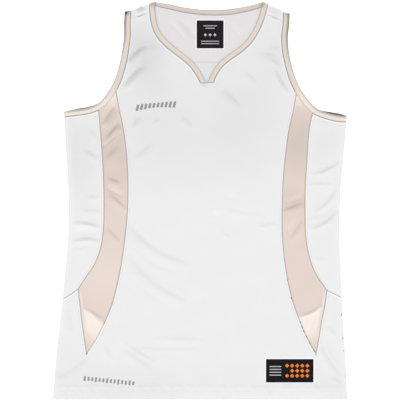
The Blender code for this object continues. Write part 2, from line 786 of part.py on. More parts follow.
def make_label(name, label, loose, level):
    """A patch whose points are those of the cloth below it, moved out. level gives that cloth's top."""
    outline = label_outline(label)
    plan, triangles = triangulated(outline, candidates(loose, outline), [])
    base = level(plan) + GAP
    bottom, top = (np.column_stack([plan, base + thickness]) for thickness in (0, LABEL))
    wall(name, top, bottom, triangles, BLACK_LABEL)


def main():
    for old in list(bpy.data.objects):
        bpy.data.objects.remove(old, do_unlink=True)
    make_back()
    make_front()
    make_neck_binding()
    for side in SIDES:
        make_insert(side)
        make_armhole_binding(side)
    make_label("hem_label", HEM_LABEL, GRID, lambda plan: LAYER + CLOTH + rise(plan))
    make_label("neck_label", NECK_LABEL, GRID[:0], lambda plan: np.full(len(plan), CLOTH))


main()
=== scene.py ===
"""A sleeveless team jersey laid flat on its back: the looks of every piece.

The back lies on the ground and folds forward over both shoulders and both sides. The front and its two
pointed inserts lie on it, bands edge the neck and the armholes, and two patches lie on the cloth. Left is
at -X and the hem at -Y. Sizes are in millimetres, in the plan, unless a name says otherwise.

A panel is cut in the flat: an even lattice of points inside its outline, with rows beside its seams. Each
point is then carried to its place, over the folds and up with the cloth's rise, and the panel gets a
second face a cloth's thickness below.
"""

from collections import namedtuple
from functools import partial

import bpy
import numpy as np
from mathutils.geometry import delaunay_2d_cdt
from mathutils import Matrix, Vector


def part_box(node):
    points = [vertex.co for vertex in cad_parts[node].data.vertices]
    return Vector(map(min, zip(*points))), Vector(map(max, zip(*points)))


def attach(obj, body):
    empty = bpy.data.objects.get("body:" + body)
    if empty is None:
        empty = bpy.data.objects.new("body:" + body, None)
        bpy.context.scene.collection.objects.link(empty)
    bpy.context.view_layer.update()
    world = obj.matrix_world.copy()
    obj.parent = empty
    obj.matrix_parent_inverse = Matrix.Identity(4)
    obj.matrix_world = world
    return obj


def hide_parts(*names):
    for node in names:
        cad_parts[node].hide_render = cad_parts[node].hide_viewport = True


bl_info = {
    "name": "Jersey Laid Flat",
    "version": (1, 0, 0),
    "blender": (4, 5, 0),
    "location": "3D View > Sidebar > Jersey",
    "description": "Builds the cloth, bands, patches and stitching of a sleeveless jersey laid flat",
    "category": "Add Mesh",
}

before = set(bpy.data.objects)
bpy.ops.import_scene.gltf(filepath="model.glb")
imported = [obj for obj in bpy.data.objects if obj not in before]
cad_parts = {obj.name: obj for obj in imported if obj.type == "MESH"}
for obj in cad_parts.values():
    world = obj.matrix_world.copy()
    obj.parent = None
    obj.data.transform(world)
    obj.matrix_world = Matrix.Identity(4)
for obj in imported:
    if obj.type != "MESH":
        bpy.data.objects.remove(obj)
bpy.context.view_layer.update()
MM = 0.001

# ---------------------------------------------------------------- sizes

# Levels: the cloth is thin here, and its faces lie where the solids' outer faces do
Form = namedtuple("Form", "thickness radius")  # radius of the middle of the cloth where it folds
PANEL, BAND = Form(0.6, 1.25), Form(1.6, 0.95)
TURN_OUT = 1.55  # how far a fold reaches past the line where the cloth starts to turn
HALF_TURN = np.pi * PANEL.radius
FRONT_TOP = 2 * PANEL.radius + PANEL.thickness
BAND_TOP = 2 * BAND.radius + BAND.thickness
SEAM_GAP = 0.3
DEEPEST = -1.3  # how far a crease may press the front layer below its lowest level

HEM, HEM_DEPTH, HEM_EXTRA = -375.0, 26.5, 0.4  # its level, its depth and how much thicker it is
NECK_WIDTH, ARM_WIDTH = 10.4, 11.8
ARM_NARROWER, ARM_TAPER = 1.3, 50.0  # how much narrower the armhole bands are at the sides, and from where
NECK_POINT_X, NECK_POINT = 13.0, 219.0

# How finely shapes are divided
FINE = 1.0
OUTLINE_STEP = 3.0 * FINE
FRONT_LATTICE, BACK_LATTICE, INSERT_LATTICE = 2.9 * FINE, 3.3 * FINE, 2.2 * FINE
FOLD_SHARES = np.linspace(0, 1, 9)
ROW_END = 4.0
SEAM_ROWS = (0.6, 1.3, 2.2, 3.4, 5.0)
LATTICE_CLEAR, FOLD_CLEAR = 5.0 + 1.2 * FINE, 2.0  # how far the lattice stays from outlines, and from rows
SEAM_CLEAR, ROW_CLEAR = 0.8, 0.5  # and rows beside seams, in shares of their distance, and from other rows
SLACK = 2  # how much farther than needed distances are worked out
CHUNK, MERGE = 4000, 1e-3

SIDES = {"left": -1.0, "right": 1.0}  # and which way is out

SIDE_LEVELS = (HEM, -283, -208, -133, -58, 17, 92, 140, 175)
SIDE_ENDS = {  # where the cloth ends at these levels
    "left": (-276.6, -268.9, -260.6, -253.1, -247.3, -247.4, -251.5, -254.0, -256.2),
    "right": (276.9, 272.5, 267.7, 264.1, 262.2, 264.1, 270.6, 274.6, 277.6),
}
SHOULDERS = {  # the ends of its straight silhouette, and how far in front of it the seam lies
    "left": ((-83.3, 372.0), (-141.6, 351.8), 17.5),
    "right": ((118.1, 371.6), (168.2, 348.5), 20.0),
}

NECK_EDGE = {
    "left": (
        (-83.3, 373.5), (-84.2, 355), (-83.2, 343.5), (-80.3, 328.5), (-74, 313.5), (-61.9, 298.5),
        (-44.5, 283.5), (-25, 268.5), (-9, 253.5), (1.6, 238.5), (NECK_POINT_X, NECK_POINT - 3),
    ),
    "right": (
        (118.6, 373), (114.8, 358.5), (111, 343.5), (105.2, 328.5), (97.6, 313.5), (87, 298.5),
        (70.6, 283.5), (49.5, 268.5), (32.6, 253.5), (22.6, 238.5), (NECK_POINT_X, NECK_POINT - 3),
    ),
}  # fmt: skip
BACK_NECK_EDGE = ((-56.3, 366), (-28, 360), (0, 356.3), (24, 355.5), (56, 357.3), (84.4, 361.6))
BACK_NECK_SEAM = (
    (-78.8, 362.2), (-56.3, 356.7), (-28, 350.6), (0, 346.8), (24, 345.7), (56, 346.9), (84.4, 351.8),
    (105.5, 357.2),
)  # fmt: skip
ARMHOLES = {  # x and y of the front's edge, and how far the back's edge shows past it
    "left": (
        (-141.2, 353.5, 0), (-142.5, 328.6, -0.8), (-142.5, 306, -0.8), (-145.2, 283.6, -0.8),
        (-150.9, 253.6, -0.8), (-160.3, 223.6, -0.8), (-174.2, 198.8, -0.8), (-190.1, 181, 0),
        (-206.3, 173.4, 1.2), (-227.6, 168.9, 1.8), (-257, 164.2, 0),
    ),
    "right": (
        (168.2, 350.0, 0), (167.5, 328.6, -0.8), (165, 306, -0.8), (165.9, 283.6, -0.8),
        (171.6, 253.6, -0.8), (180.9, 223.6, -0.8), (194.3, 198.3, -0.8), (210.4, 178.2, 0),
        (223, 168.2, 0), (233, 164.4, 1.2), (244, 160.6, 3.4), (258, 156.9, 5.0), (267, 155.7, 4.0),
        (279, 155.4, 0),
    ),
}  # fmt: skip

# fill: the share of its flat size that the pattern piece fills
Insert = namedtuple("Insert", "inner_start inner outer_start outer corner tail tip side_seam seam_end fill")
INSERTS = {
    "left": Insert(
        inner_start=-157.5,
        inner=(
            (-151.9, 171), (-146.2, 144.8), (-139.6, 103.6), (-135.8, 58.6), (-134.9, 17.3), (-136.6, -31.4),
            (-141, -76.4), (-146.8, -117.7), (-155, -158.9), (-164.8, -196.4), (-177.6, -228.3),
            (-192.4, -258.5),
        ),
        outer_start=-190.3,
        outer=(
            (-187.3, 133.6), (-183.6, 88.6), (-180.6, 28.6), (-180, -16.4), (-181.3, -57.7), (-186.4, -91.4),
            (-197.6, -121.4), (-217, -150.4),
        ),
        corner=(-228.8, -168.6), tail=((-226.2, -188.9), (-221.8, -226.4), (-217.2, -260.2)),
        tip=(-212.6, -290.6), side_seam=((-240, -176.7), (-247.5, -181.6)), seam_end=-187.5, fill=0.469,
    ),
    "right": Insert(
        inner_start=180.6,
        inner=(
            (174.2, 163.6), (167.2, 133.6), (161.3, 92), (156.9, 51.1), (154.2, -1.4), (153.8, -57.7),
            (155.8, -91.4), (159.3, -121.4), (164.2, -151.4), (171, -181.4), (180.4, -211.4), (192.2, -241.4),
            (206.6, -271.4),
        ),
        outer_start=211.1,
        outer=(
            (205.3, 133.6), (200.6, 73.6), (197.6, 28.6), (196.8, -29.5), (199, -76.4), (205, -108),
            (215.4, -136.4),
        ),
        corner=(238.1, -171.1), tail=((234.6, -196), (228.6, -226.4), (223.6, -256.4)),
        tip=(217.5, -290.2), side_seam=((249.5, -176.6), (258.6, -180.7)), seam_end=-184.5, fill=0.496,
    ),
}  # fmt: skip

# ---------------------------------------------------------------- how the cloth lies

PUFF, PUFF_REACH = 2.3, 75.0
EDGE_REACH, FINE_EDGE_REACH, BACK_EDGE_REACH = 22.0, 9.0, 14.0  # folds fade out this near the silhouette
CREASE_END = 0.7  # below 1, a crease keeps more of its depth towards its ends
STEEP, GENTLE = 0.55, 1.7  # shares of a crease's reach on its two sides
CREASE_SHADE = 0.06  # how much darker cloth looks for each millimetre that a trough is deep
LARGE_SHARE = 0.2  # the solids show the large creases stronger than the cloth has them

# A crease: x and y of its start and of its end, the bow of its axis, its height at the middle, below 0 for
# a trough, and its reach. Every crease is steep on its side towards the hem and gentle on the other one,
# if it is a ridge, and the other way round if it is a trough.
LARGE_CREASES = (
    (-131, -50, -20, -121, -13, -2.2, 13), (-134, -72, -40, -136, -12, 1.9, 14),
    (-132, -108, -28, -192, -9, -2.1, 13), (-140, -128, -52, -200, -8, 1.6, 13),
    (-134, 252, -92, 286, 4, -1.8, 10), (-146, 208, -106, 240, 0, -1.8, 10),
    (-122, 78, -88, 106, 0, -1.5, 10), (126, 268, 176, 196, 4, -2.0, 12), (140, 272, 184, 212, 4, 1.5, 11),
    (42, 202, 78, 170, 0, -1.6, 10), (52, 178, 84, 154, 0, 1.6, 12), (108, -52, 142, -44, 0, -1.4, 10),
    (-95, -262, 16, -266, 3, -1.3, 12), (-146, -282, -84, -314, 3, -1.6, 12),
    (-210, -300, -258, -334, 0, -1.6, 12), (234, -268, 268, -332, 5, -1.8, 12),
    (-236, -44, -190, -53, 0, -1.9, 9), (-240, -80, -190, -76, 3, -1.9, 9), (-238, -62, -194, -64, 0, 1.6, 9),
    (-218, 96, -190, 74, 0, -1.4, 9), (214, -60, 255, -26, -3, -2.0, 10), (214, 47, 262, 70, -4, -1.6, 9),
    (212, -20, 258, 18, -3, -1.7, 9), (216, -40, 252, -8, -3, 1.5, 10), (-182, 100, -150, 142, 0, -2.0, 10),
    (-176, 84, -146, 122, 0, 1.6, 10), (-172, 10, -136, -22, 0, -2.0, 10),
    (-218, -204, -178, -227, 0, -2.0, 9), (156, -24, 192, -6, 0, -1.8, 9), (168, -76, 196, -36, 0, -1.6, 9),
    (186, -222, 234, -198, -3, -2.0, 9),
)  # fmt: skip
FINE_CREASES = (
    (-134, 254, -72, 286, 9, -0.7, 9), (-137, 254, -102, 287, 3, -2.4, 6), (-122, 286, -80, 289, 5, -0.5, 8),
    (-140, 214, -100, 250, 2, -0.6, 14), (-147, 205, -107, 247, 2, -2.3, 7.5),
    (104, 271, 156, 263, 2, -0.8, 12), (131, 285, 154, 279, 1, -0.6, 8), (82, 237, 108, 216, 1, -0.6, 9),
    (134, 262, 150, 248, 1, -1.0, 6), (142, 242, 168, 198, -2, -1.9, 6), (42, 203, 79, 165, 2, -1.15, 13),
    (-33, 154, -14, 132, 1, -0.9, 8), (-124, 73, -89, 102, 0, -0.9, 11), (-128, 132, -113, 153, 0, -1.3, 9),
    (-90, 139, -77, 151, 0, -0.6, 5), (-133, -51, -79, -101, -5, -1.1, 15),
    (-93, -96, -18, -123, -3, -0.8, 12), (-135, -107, -73, -172, -5, -0.9, 13),
    (-84, -163, -24, -193, -3, -0.6, 12), (110, -52, 140, -45, -1, -0.6, 5), (44, -64, 57, -71, 0, -0.4, 5),
    (50, -22, 112, -30, 0, -0.35, 6), (20, -28, 36, -34, 0, 0.4, 7), (44, 4, 72, 2, 0, 0.3, 8),
    (-92, -262, 13, -266, 2, -0.4, 6), (-129, -279, 0, -279, -2, -0.45, 6),
    (-147, -280, -88, -319, -1, -0.7, 10), (-142, -269, -82, -306, -1, -0.6, 8),
    (-175, -275, -161, -304, -2, -0.5, 7), (-211, -300, -266, -339, 3, -0.6, 13),
    (-249, -208, -242, -252, 2, -0.5, 9), (226, -275, 264, -336, -1, -1.0, 8),
    (236, -272, 259, -312, -1, -0.5, 5), (238, -240, 260, -258, 0, -0.6, 6),
    (246, -331, 270, -351, 0, -0.7, 7), (-209, 134, -192, 111, 1, -0.8, 7), (-220, 93, -190, 73, 1, -1.1, 7),
    (-214, 4, -188, 4, 0, -0.8, 7), (-223, -22, -188, -22, 0, -0.8, 6), (-240, -45, -187, -53, 3, -1.7, 6),
    (-243, -81, -187, -80, 5, -1.7, 6), (-242, -98, -203, -87, 0, -0.4, 5), (205, 48, 264, 73, -7, -1.4, 6),
    (203, 29, 252, 28, 0, -0.8, 5), (214, -24, 256, 22, -7, -1.4, 6), (256, 12, 256, 44, 0, -0.5, 4),
    (205, -38, 222, -32, 0, -0.5, 4), (205, -56, 260, -19, -7, -1.4, 6), (214, -112, 239, -113, 0, -0.5, 5),
    (-182, 137, -160, 171, 0, -3.2, 10), (-171, 142, -152, 170, 0, 0.9, 8),
    (-181, 105, -151, 141, 0, -2.8, 9), (-183, 97, -150, 127, 0, 1.8, 7), (-177, 73, -152, 98, 0, -1.4, 8),
    (-172, 38, -149, 29, 0, -1.8, 7), (-177, 22, -144, 4, 0, 1.4, 7), (-170, 10, -136, -22, 0, -1.5, 7),
    (-175, -54, -150, -82, 0, -1.2, 8), (-207, -209, -183, -225, 0, -0.9, 5), (153, -24, 196, -8, 0, -1.8, 9),
    (158, -8, 194, 4, 0, 0.7, 6), (168, -79, 192, -42, 0, -1.4, 7), (164, -64, 184, -34, 0, 0.5, 7),
    (186, -219, 227, -201, -3, -1.0, 5), (-217, -212, -212, -268, 0, -0.4, 5),
    (213, -222, 215, -268, 0, -0.35, 4), (-122, 339, -102, 348, 0, -1.5, 4),
    (-122, 352, -102, 360, 0, -0.6, 6), (129, 344, 151, 336, 0, -1.2, 4),
)  # fmt: skip
BACK_CREASES = (  # on the back layer, which shows inside the neck and from below
    (-45, 338, -14, 302, 2, -1.3, 8), (-57, 333, -25, 297, 2, 0.7, 8), (-30, 332, -6, 300, 2, 0.5, 6),
    (58, 330, 84, 298, -2, 0.5, 7), (-120, 250, -60, 190, 5, 0.4, 9), (140, 230, 90, 160, -6, 0.4, 9),
    (-210, 60, -120, 40, 4, 0.5, 9), (-200, -60, -90, -110, -8, 0.5, 10), (210, -40, 110, -90, 8, 0.5, 10),
    (60, -150, 160, -210, -6, 0.4, 10), (-190, -230, -80, -300, 6, 0.4, 10),
    (30, -290, 150, -300, -4, 0.4, 9),
)  # fmt: skip

# Long low waves that keep flat cloth from being dead flat: length, way (degrees), height, phase
WAVES = ((97, 20, 0.10, 0.3), (61, 105, 0.07, 1.9), (38, 62, 0.035, 4.1), (27, 151, 0.02, 2.2))

# ---------------------------------------------------------------- lines in plan


def along(line):
    """Distance along a line at each of its points: the running sum of the lengths of its steps."""
    return np.concatenate([[0], np.cumsum(np.linalg.norm(np.diff(line, axis=0), axis=1))])


def hermite(knots, values, at):
    """A smooth function through values at knots: cubic Hermite pieces, slopes from the neighbours."""
    slopes = np.gradient(values, knots, axis=0)
    i = np.clip(np.searchsorted(knots, at, side="right") - 1, 0, len(knots) - 2)
    width = knots[i + 1] - knots[i]
    u = (at - knots[i]) / width
    if values.ndim > 1:
        width, u = width[:, None], u[:, None]
    rising = values[i] * (1 + 2 * u) * (1 - u) ** 2 + values[i + 1] * (3 - 2 * u) * u**2
    return rising + slopes[i] * width * u * (1 - u) ** 2 - slopes[i + 1] * width * (1 - u) * u**2


def curve(points, step=OUTLINE_STEP):
    """A smooth line through points, divided evenly: a Hermite curve over the distance along them."""
    points = np.array([p[:2] for p in points], float)
    at = along(points)
    return hermite(at, points, np.linspace(0, at[-1], max(2, round(at[-1] / step) + 1)))


def divided(line, count):
    """The same line with this many points, evenly spaced along it."""
    at = along(line)
    even = np.linspace(0, at[-1], count)
    return np.column_stack([np.interp(even, at, values) for values in np.transpose(line)])


def leftward(ways):
    """Unit vectors to the left of others: (-y, x) of each, divided by its length."""
    ways = ways / np.linalg.norm(ways, axis=1)[:, None]
    return np.column_stack([-ways[:, 1], ways[:, 0]])


def beside(line, distance):
    """A line at a distance to the left of another: each point goes along the line's normal."""
    return line + leftward(np.gradient(line, along(line), axis=0)) * np.reshape(distance, (-1, 1))


def trimmed(line, *measures):
    """The stretch of a line where each measure(points) is above 0, ended exactly where it is 0."""
    for measure in measures:
        far = measure(line)
        kept = np.flatnonzero(far > 0)
        parts = [line[kept[0] : kept[-1] + 1]]
        for i, order in ((kept[0] - 1, 0), (kept[-1], 2)):
            if 0 <= i < len(line) - 1:
                cut = line[i : i + 1] + far[i] / (far[i] - far[i + 1]) * (line[i + 1] - line[i])
                parts.insert(order, cut)
        line = np.concatenate(parts)
    return line


def joined(*lines):
    """One line from several that meet end to end, without the doubled points."""
    points = np.concatenate(lines)
    step = np.linalg.norm(np.diff(points, axis=0, append=points[:1]), axis=1)
    return points[step > MERGE]


def inset(outline, distance):
    """A closed anticlockwise outline moved inwards: each corner goes along the sum of its two normals."""
    inward = leftward(np.roll(outline, -1, axis=0) - outline)
    before = np.roll(inward, 1, axis=0)
    return outline + distance * (before + inward) / (1 + (before * inward).sum(1))[:, None]


def near_lines(points, lines, limit):
    """Distance to the nearest of several lines, up to a limit: to the nearest point of each step."""
    far = np.full(len(points), float(limit))
    for line in lines:
        low, high = line.min(0) - limit, line.max(0) + limit
        close = np.flatnonzero(((points > low) & (points < high)).all(1))
        start, step = line[:-1], np.diff(line, axis=0)
        for some in np.array_split(close, len(close) // CHUNK + 1):
            to_start = points[some, None] - start
            share = np.clip((to_start * step).sum(2) / (step**2).sum(1), 0, 1)
            away = ((to_start - share[..., None] * step) ** 2).sum(2).min(1)
            far[some] = np.minimum(far[some], np.sqrt(away))
    return far


def inside(points, outline):
    """Which points an outline holds: those whose ray to the right crosses it an odd number of times."""
    (ax, ay), (bx, by) = outline.T, np.roll(outline, -1, axis=0).T
    climb = np.where(by == ay, 1, by - ay)
    held = []
    for some in np.array_split(points, len(points) // CHUNK + 1):
        x, y = some[:, :1], some[:, 1:]
        crossed = ((ay > y) != (by > y)) & (x < ax + (y - ay) * (bx - ax) / climb)
        held.append(crossed.sum(1) % 2 == 1)
    return np.concatenate(held)


def smooth(share):
    """0 to 1 with soft ends: 3 s^2 - 2 s^3."""
    share = np.clip(share, 0, 1)
    return share * share * (3 - 2 * share)


def bell(share):
    """A soft hump of height 1 that ends at -1 and 1: half of 1 + cos(pi s)."""
    return 0.5 + 0.5 * np.cos(np.pi * np.clip(np.abs(share), 0, 1))


# ---------------------------------------------------------------- folds


def side_x(side, y):
    """Where the cloth ends at a side, at one height or several."""
    return hermite(np.array(SIDE_LEVELS), np.array(SIDE_ENDS[side]), np.atleast_1d(y))


def side_line(side, high, low, out=0.0, count=2):
    """Points down a side, moved out by a distance."""
    y = np.linspace(high, low, count)
    return np.column_stack([side_x(side, y) + SIDES[side] * out, y])


def over_side(side, points):
    """How far points lie past the line where the cloth turns at a side, and the way out there."""
    out = SIDES[side]
    beyond = out * (points[:, 0] - side_x(side, points[:, 1])) + TURN_OUT
    return beyond, np.tile([out, 0.0], (len(points), 1))


def over_shoulder(side, points):
    """The same over a shoulder, whose silhouette is one straight line."""
    neck, arm = np.array(SHOULDERS[side][:2])
    slope = (neck - arm) / np.linalg.norm(neck - arm)
    out = np.array([-slope[1], slope[0]]) * np.sign(slope[0])
    return (points - neck) @ out + TURN_OUT, np.tile(out, (len(points), 1))


FOLDS = {("side", side): partial(over_side, side) for side in SIDES}
FOLDS |= {("shoulder", side): partial(over_shoulder, side) for side in SIDES}

# Measures for trimmed(): how far points lie inside a fold line, below the seam in front of a shoulder,
# above it, and above a level of the plan


def within(*fold):
    return lambda points: -FOLDS[fold](points)[0]


def below_yoke(side):
    return lambda points: TURN_OUT - SHOULDERS[side][2] - FOLDS["shoulder", side](points)[0]


def in_yoke(side):
    return lambda points: -below_yoke(side)(points)


def above(level):
    return lambda points: points[:, 1] - level


def opened(points, fold):
    """Where points of the front layer lie in the flat cloth, before it is folded: mirrored in the fold."""
    beyond, out = fold(points)
    return points + out * (HALF_TURN - 2 * beyond)[:, None]


def across(point, fold):
    """The flat cloth's points from a fold line out over the fold, from the back layer to the front."""
    return point + np.outer(HALF_TURN * FOLD_SHARES[1:-1], fold(point[None])[1][0])


def turned(plan, turn, out, offset, form, lift):
    """Cloth that turns over at a fold, by 0 in the back layer and half a circle in the front one.

    With R the fold's radius and h the offset outwards from the middle of the cloth, a point goes out by
    (R + h) sin(turn) and its height is R + thickness / 2 - (R + h) cos(turn).
    """
    reach = form.radius + offset
    flat = plan + out * (np.sin(turn) * reach)[:, None]
    return np.column_stack([flat, form.thickness / 2 + form.radius - np.cos(turn) * reach + lift])


def panel_faces(plan, turn, out, lift):
    """A panel's outer and inner face."""
    return [turned(plan, turn, out, h * PANEL.thickness / 2, PANEL, lift) for h in (1, -1)]


def every(*ranges):
    """All pairs from two ranges, row by row: a grid's two coordinates."""
    return [k.ravel() for k in np.meshgrid(*ranges, indexing="ij")]


# ---------------------------------------------------------------- the shared seams


def neck_lines(side):
    """Free edge and seam of the front neck band, from the shoulder fold down to the V."""
    edge = curve(NECK_EDGE[side])
    seam = beside(edge, NECK_WIDTH * SIDES[side])
    return trimmed(edge, within("shoulder", side)), trimmed(seam, within("shoulder", side), above(NECK_POINT))


def armhole_lines(side):
    """Free edges and seams of an armhole band, front and back, from shoulder fold to side fold."""
    rows = np.array(ARMHOLES[side])
    edge = curve(rows)
    at = along(edge)
    peek = np.interp(at, along(rows[:, :2]), rows[:, 2])
    width = ARM_WIDTH - ARM_NARROWER * smooth((at - at[-1] + ARM_TAPER) / ARM_TAPER)
    lines = [edge, beside(edge, -SIDES[side] * width)]
    back_edge = beside(edge, SIDES[side] * peek)
    lines += [back_edge, beside(back_edge, -SIDES[side] * width)]
    return [trimmed(line, within("shoulder", side), within("side", side)) for line in lines]


NECK = {side: neck_lines(side) for side in SIDES}
ARM = {side: armhole_lines(side) for side in SIDES}
BACK_NECK = [  # free edge and seam across the back of the neck, from the left shoulder fold to the right one
    curve([NECK["left"][part][0], *points, NECK["right"][part][0]])
    for part, points in enumerate((BACK_NECK_EDGE, BACK_NECK_SEAM))
]


def insert_lines(side):
    """The seams round an insert: inner, outer, tail, the side seam, and the armhole seam in three."""
    row, seam = INSERTS[side], ARM[side][1]

    def past(x, way=1):
        """A measure: how far outwards past x points lie."""
        return lambda points: way * SIDES[side] * (points[:, 0] - x)

    to_front = trimmed(seam, past(row.inner_start, -1))
    to_insert = trimmed(seam, past(row.inner_start), past(row.outer_start, -1))
    to_side = trimmed(seam, past(row.outer_start))
    end = side_line(side, row.seam_end, HEM, -TURN_OUT)[0]
    return dict(
        inner=curve([to_front[-1], *row.inner, row.tip]),
        outer=curve([to_side[0], *row.outer, row.corner]),
        tail=curve([row.corner, *row.tail, row.tip]),
        side_seam=curve([row.corner, *row.side_seam, end]),
        to_front=to_front, to_insert=to_insert, to_side=to_side,
    )  # fmt: skip


SEAMS = {side: insert_lines(side) for side in SIDES}


def shoulder_seam(side):
    """The straight seam across the front of a shoulder, from the neck band to the armhole band."""
    ends = [trimmed(line, below_yoke(side))[0] for line in (NECK[side][1], SEAMS[side]["to_front"])]
    return divided(np.array(ends), round(np.linalg.norm(ends[1] - ends[0]) / OUTLINE_STEP) + 1)


SHOULDER_SEAMS = [shoulder_seam(side) for side in SIDES]
CLOTH_SEAMS = {side: [SEAMS[side][key] for key in ("inner", "outer", "tail", "side_seam")] for side in SIDES}
NECK_SEAMS = [NECK[side][1] for side in SIDES] + [np.array([NECK[side][1][-1] for side in SIDES])]
ARM_SEAMS = [ARM[side][1] for side in SIDES]
FRONT_SEAMS = [
    *CLOTH_SEAMS["left"], SHOULDER_SEAMS[0], *CLOTH_SEAMS["right"], SHOULDER_SEAMS[1],
    *NECK_SEAMS[:2], *ARM_SEAMS, NECK_SEAMS[2],
]  # fmt: skip
BACK_SEAMS = [BACK_NECK[1], *[ARM[side][3] for side in SIDES]]

# ---------------------------------------------------------------- the cloth's rise

SILHOUETTE = [
    *[np.column_stack([SIDE_ENDS[side], SIDE_LEVELS]) for side in SIDES],
    *[np.array(row[:2]) for row in SHOULDERS.values()],
    *[divided(NECK[side][0], 24) for side in SIDES],
    *[divided(ARM[side][0], 30) for side in SIDES],
    np.array([(SIDE_ENDS[side][0], HEM) for side in SIDES]),
]


def creased(points, creases):
    """The sum of soft ridges and troughs.

    Each is height * sin(pi t)^CREASE_END * bell(d / reach), where t is the share of the way from its
    start to its end and d the distance from its bowed axis. The reach is shorter on the steep side.
    """
    total = np.zeros(len(points))
    for x, y, end_x, end_y, bow, height, reach in creases:
        way = np.array([end_x - x, end_y - y], float)
        length = np.linalg.norm(way)
        way /= length
        share = np.clip((points - (x, y)) @ way / length, 0, 1)
        side = (points - (x, y)) @ [-way[1], way[0]] - bow * 4 * share * (1 - share)
        reach = reach * np.where((side * way[0] > 0) == (height < 0), STEEP, GENTLE)
        total += height * np.abs(np.sin(np.pi * share)) ** CREASE_END * bell(side / reach)
    return total


def waved(points):
    """Long low waves: the sum of height * sin(2 pi p / length + phase), p measured along each way."""
    total = np.zeros(len(points))
    for length, degrees, height, phase in WAVES:
        way = np.radians(degrees)
        total += height * np.sin(2 * np.pi * (points @ [np.cos(way), np.sin(way)]) / length + phase)
    return total


def rise(points):
    """How far the front layer stands above its lowest level: a soft puff, creases and waves, 0 at edges."""
    edge = near_lines(points, SILHOUETTE, PUFF_REACH)
    large = PUFF * smooth(edge / PUFF_REACH) + LARGE_SHARE * creased(points, LARGE_CREASES)
    fine = creased(points, FINE_CREASES) + waved(points)
    height = np.maximum(large, 0) * smooth(edge / EDGE_REACH) + fine * smooth(edge / FINE_EDGE_REACH)
    return np.maximum(height, DEEPEST)


def back_rise(points):
    """How far the back layer stands off the ground: low ridges only, 0 at its edges."""
    edge = near_lines(points, [*SILHOUETTE, BACK_NECK[1]], PUFF_REACH)
    return np.maximum(creased(points, BACK_CREASES), 0) * smooth(edge / BACK_EDGE_REACH)


DITCH, DITCH_WIDTH = 0.5, 1.0  # how deep the cloth dips at a seam
PRESSED, PRESSED_FROM, PRESSED_TO = 0.28, 0.9, 7.0  # the soft ridge where the seam allowance lies below


def seam_relief(far):
    """The cloth's form beside a seam: -DITCH e^-(d/w)^2, and a soft ridge over the seam allowance."""
    middle, half = (PRESSED_FROM + PRESSED_TO) / 2, (PRESSED_TO - PRESSED_FROM) / 2
    return PRESSED * bell((far - middle) / half) - DITCH * np.exp(-((far / DITCH_WIDTH) ** 2))


HEM_ROWS = (HEM + HEM_DEPTH, HEM + HEM_DEPTH - 3.6)  # two rows of hem stitches, at the left
HEM_SAG, SAG_FROM, SAG_SPAN = 2.0, -60, 260  # how much lower they run at the right, and where they go down
HEM_PULL, HEM_PULL_WIDTH = 0.3, 0.9  # how far stitches pull the cloth down
HEM_TOP, HEM_STEP = 1, 1.5  # where the turned-up cloth ends above the upper row, and how soft its step is
HEM_POINTS = ((0, 0), (1, 0), (0, 1.2), (0, -1.8), (1, -1.4))  # rows of points: from which row, how far up
HEM_EDGE_POINTS = (0.6, 1.5, 2.7, 4.2)
HEM_RIPPLES = (0.11, 3.1), (0.08, 8.3)  # their heights and lengths
RIPPLE_SLANT, RIPPLE_SWELL = 0.9, 37
RIPPLE_LEVEL, RIPPLE_REACH = 6, 13  # from the top of the turned-up cloth down
HEM_DARK, HEM_DARK_WIDTH = (0.1, 0.05), 1.3
HEM_EVEN, HEM_UNEVEN, UNEVEN_LENGTHS = 0.65, 0.35, (6.1, 23)
HEM_LIGHT, LIGHT_FROM, LIGHT_SPAN, HEM_SHADE = 0.02, -160, 400, -0.012
HEM_LIGHT_STEP = 6


def hem_row(x, row):
    """Height of a row of hem stitches at some places across: it sags gently to the right."""
    return row - HEM_SAG * smooth((x - SAG_FROM) / SAG_SPAN)


def hem_rows_across():
    """Rows of points on and beside the hem stitches, and others up from the hem's edge."""
    start, end = (side_x(side, HEM_ROWS[0])[0] - SIDES[side] * ROW_END for side in SIDES)
    x = np.linspace(start, end, round((end - start) / OUTLINE_STEP))
    levels = [hem_row(x, HEM_ROWS[row] + up) for row, up in HEM_POINTS]
    levels += [np.full(len(x), HEM + up) for up in HEM_EDGE_POINTS]
    return [np.column_stack([x, level]) for level in levels]


def hem_lines(points, width, amounts):
    """A soft line along each row of hem stitches: the sum of amount * e^-(d / width)^2."""
    x, y = points.T
    return sum(np.exp(-(((y - hem_row(x, row)) / width) ** 2)) * a for row, a in zip(HEM_ROWS, amounts))


def hem_pull(points):
    """How far the hem stitches pull the cloth in."""
    return HEM_PULL * hem_lines(points, HEM_PULL_WIDTH, (1, 1))


def hem_relief(points):
    """The turned-up hem: a soft step up, two pulled lines of stitches and slanting ripples between them."""
    x, y = points.T
    below = hem_row(x, HEM_ROWS[0]) + HEM_TOP - y
    (high, long), (low, longer) = HEM_RIPPLES
    slant = x + RIPPLE_SLANT * y
    ripple = high * np.sin(slant / long) + low * np.sin(slant / longer + 1) * np.sin(x / RIPPLE_SWELL)
    step = HEM_EXTRA * smooth(below / HEM_STEP)
    return step - hem_pull(points) + ripple * bell((below - RIPPLE_LEVEL) / RIPPLE_REACH)


def hem_tone(points):
    """Darker along the stitches, unevenly, and a little lighter below them, most so at the right."""
    x, y = points.T
    short, long = UNEVEN_LENGTHS
    uneven = HEM_EVEN + HEM_UNEVEN * np.sin(x / short) * np.sin(x / long + 1)
    light = HEM_LIGHT * smooth((x - LIGHT_FROM) / LIGHT_SPAN) + HEM_SHADE
    below = smooth((HEM_ROWS[1] - y) / HEM_LIGHT_STEP)
    return light * below - hem_lines(points, HEM_DARK_WIDTH, HEM_DARK) * uneven


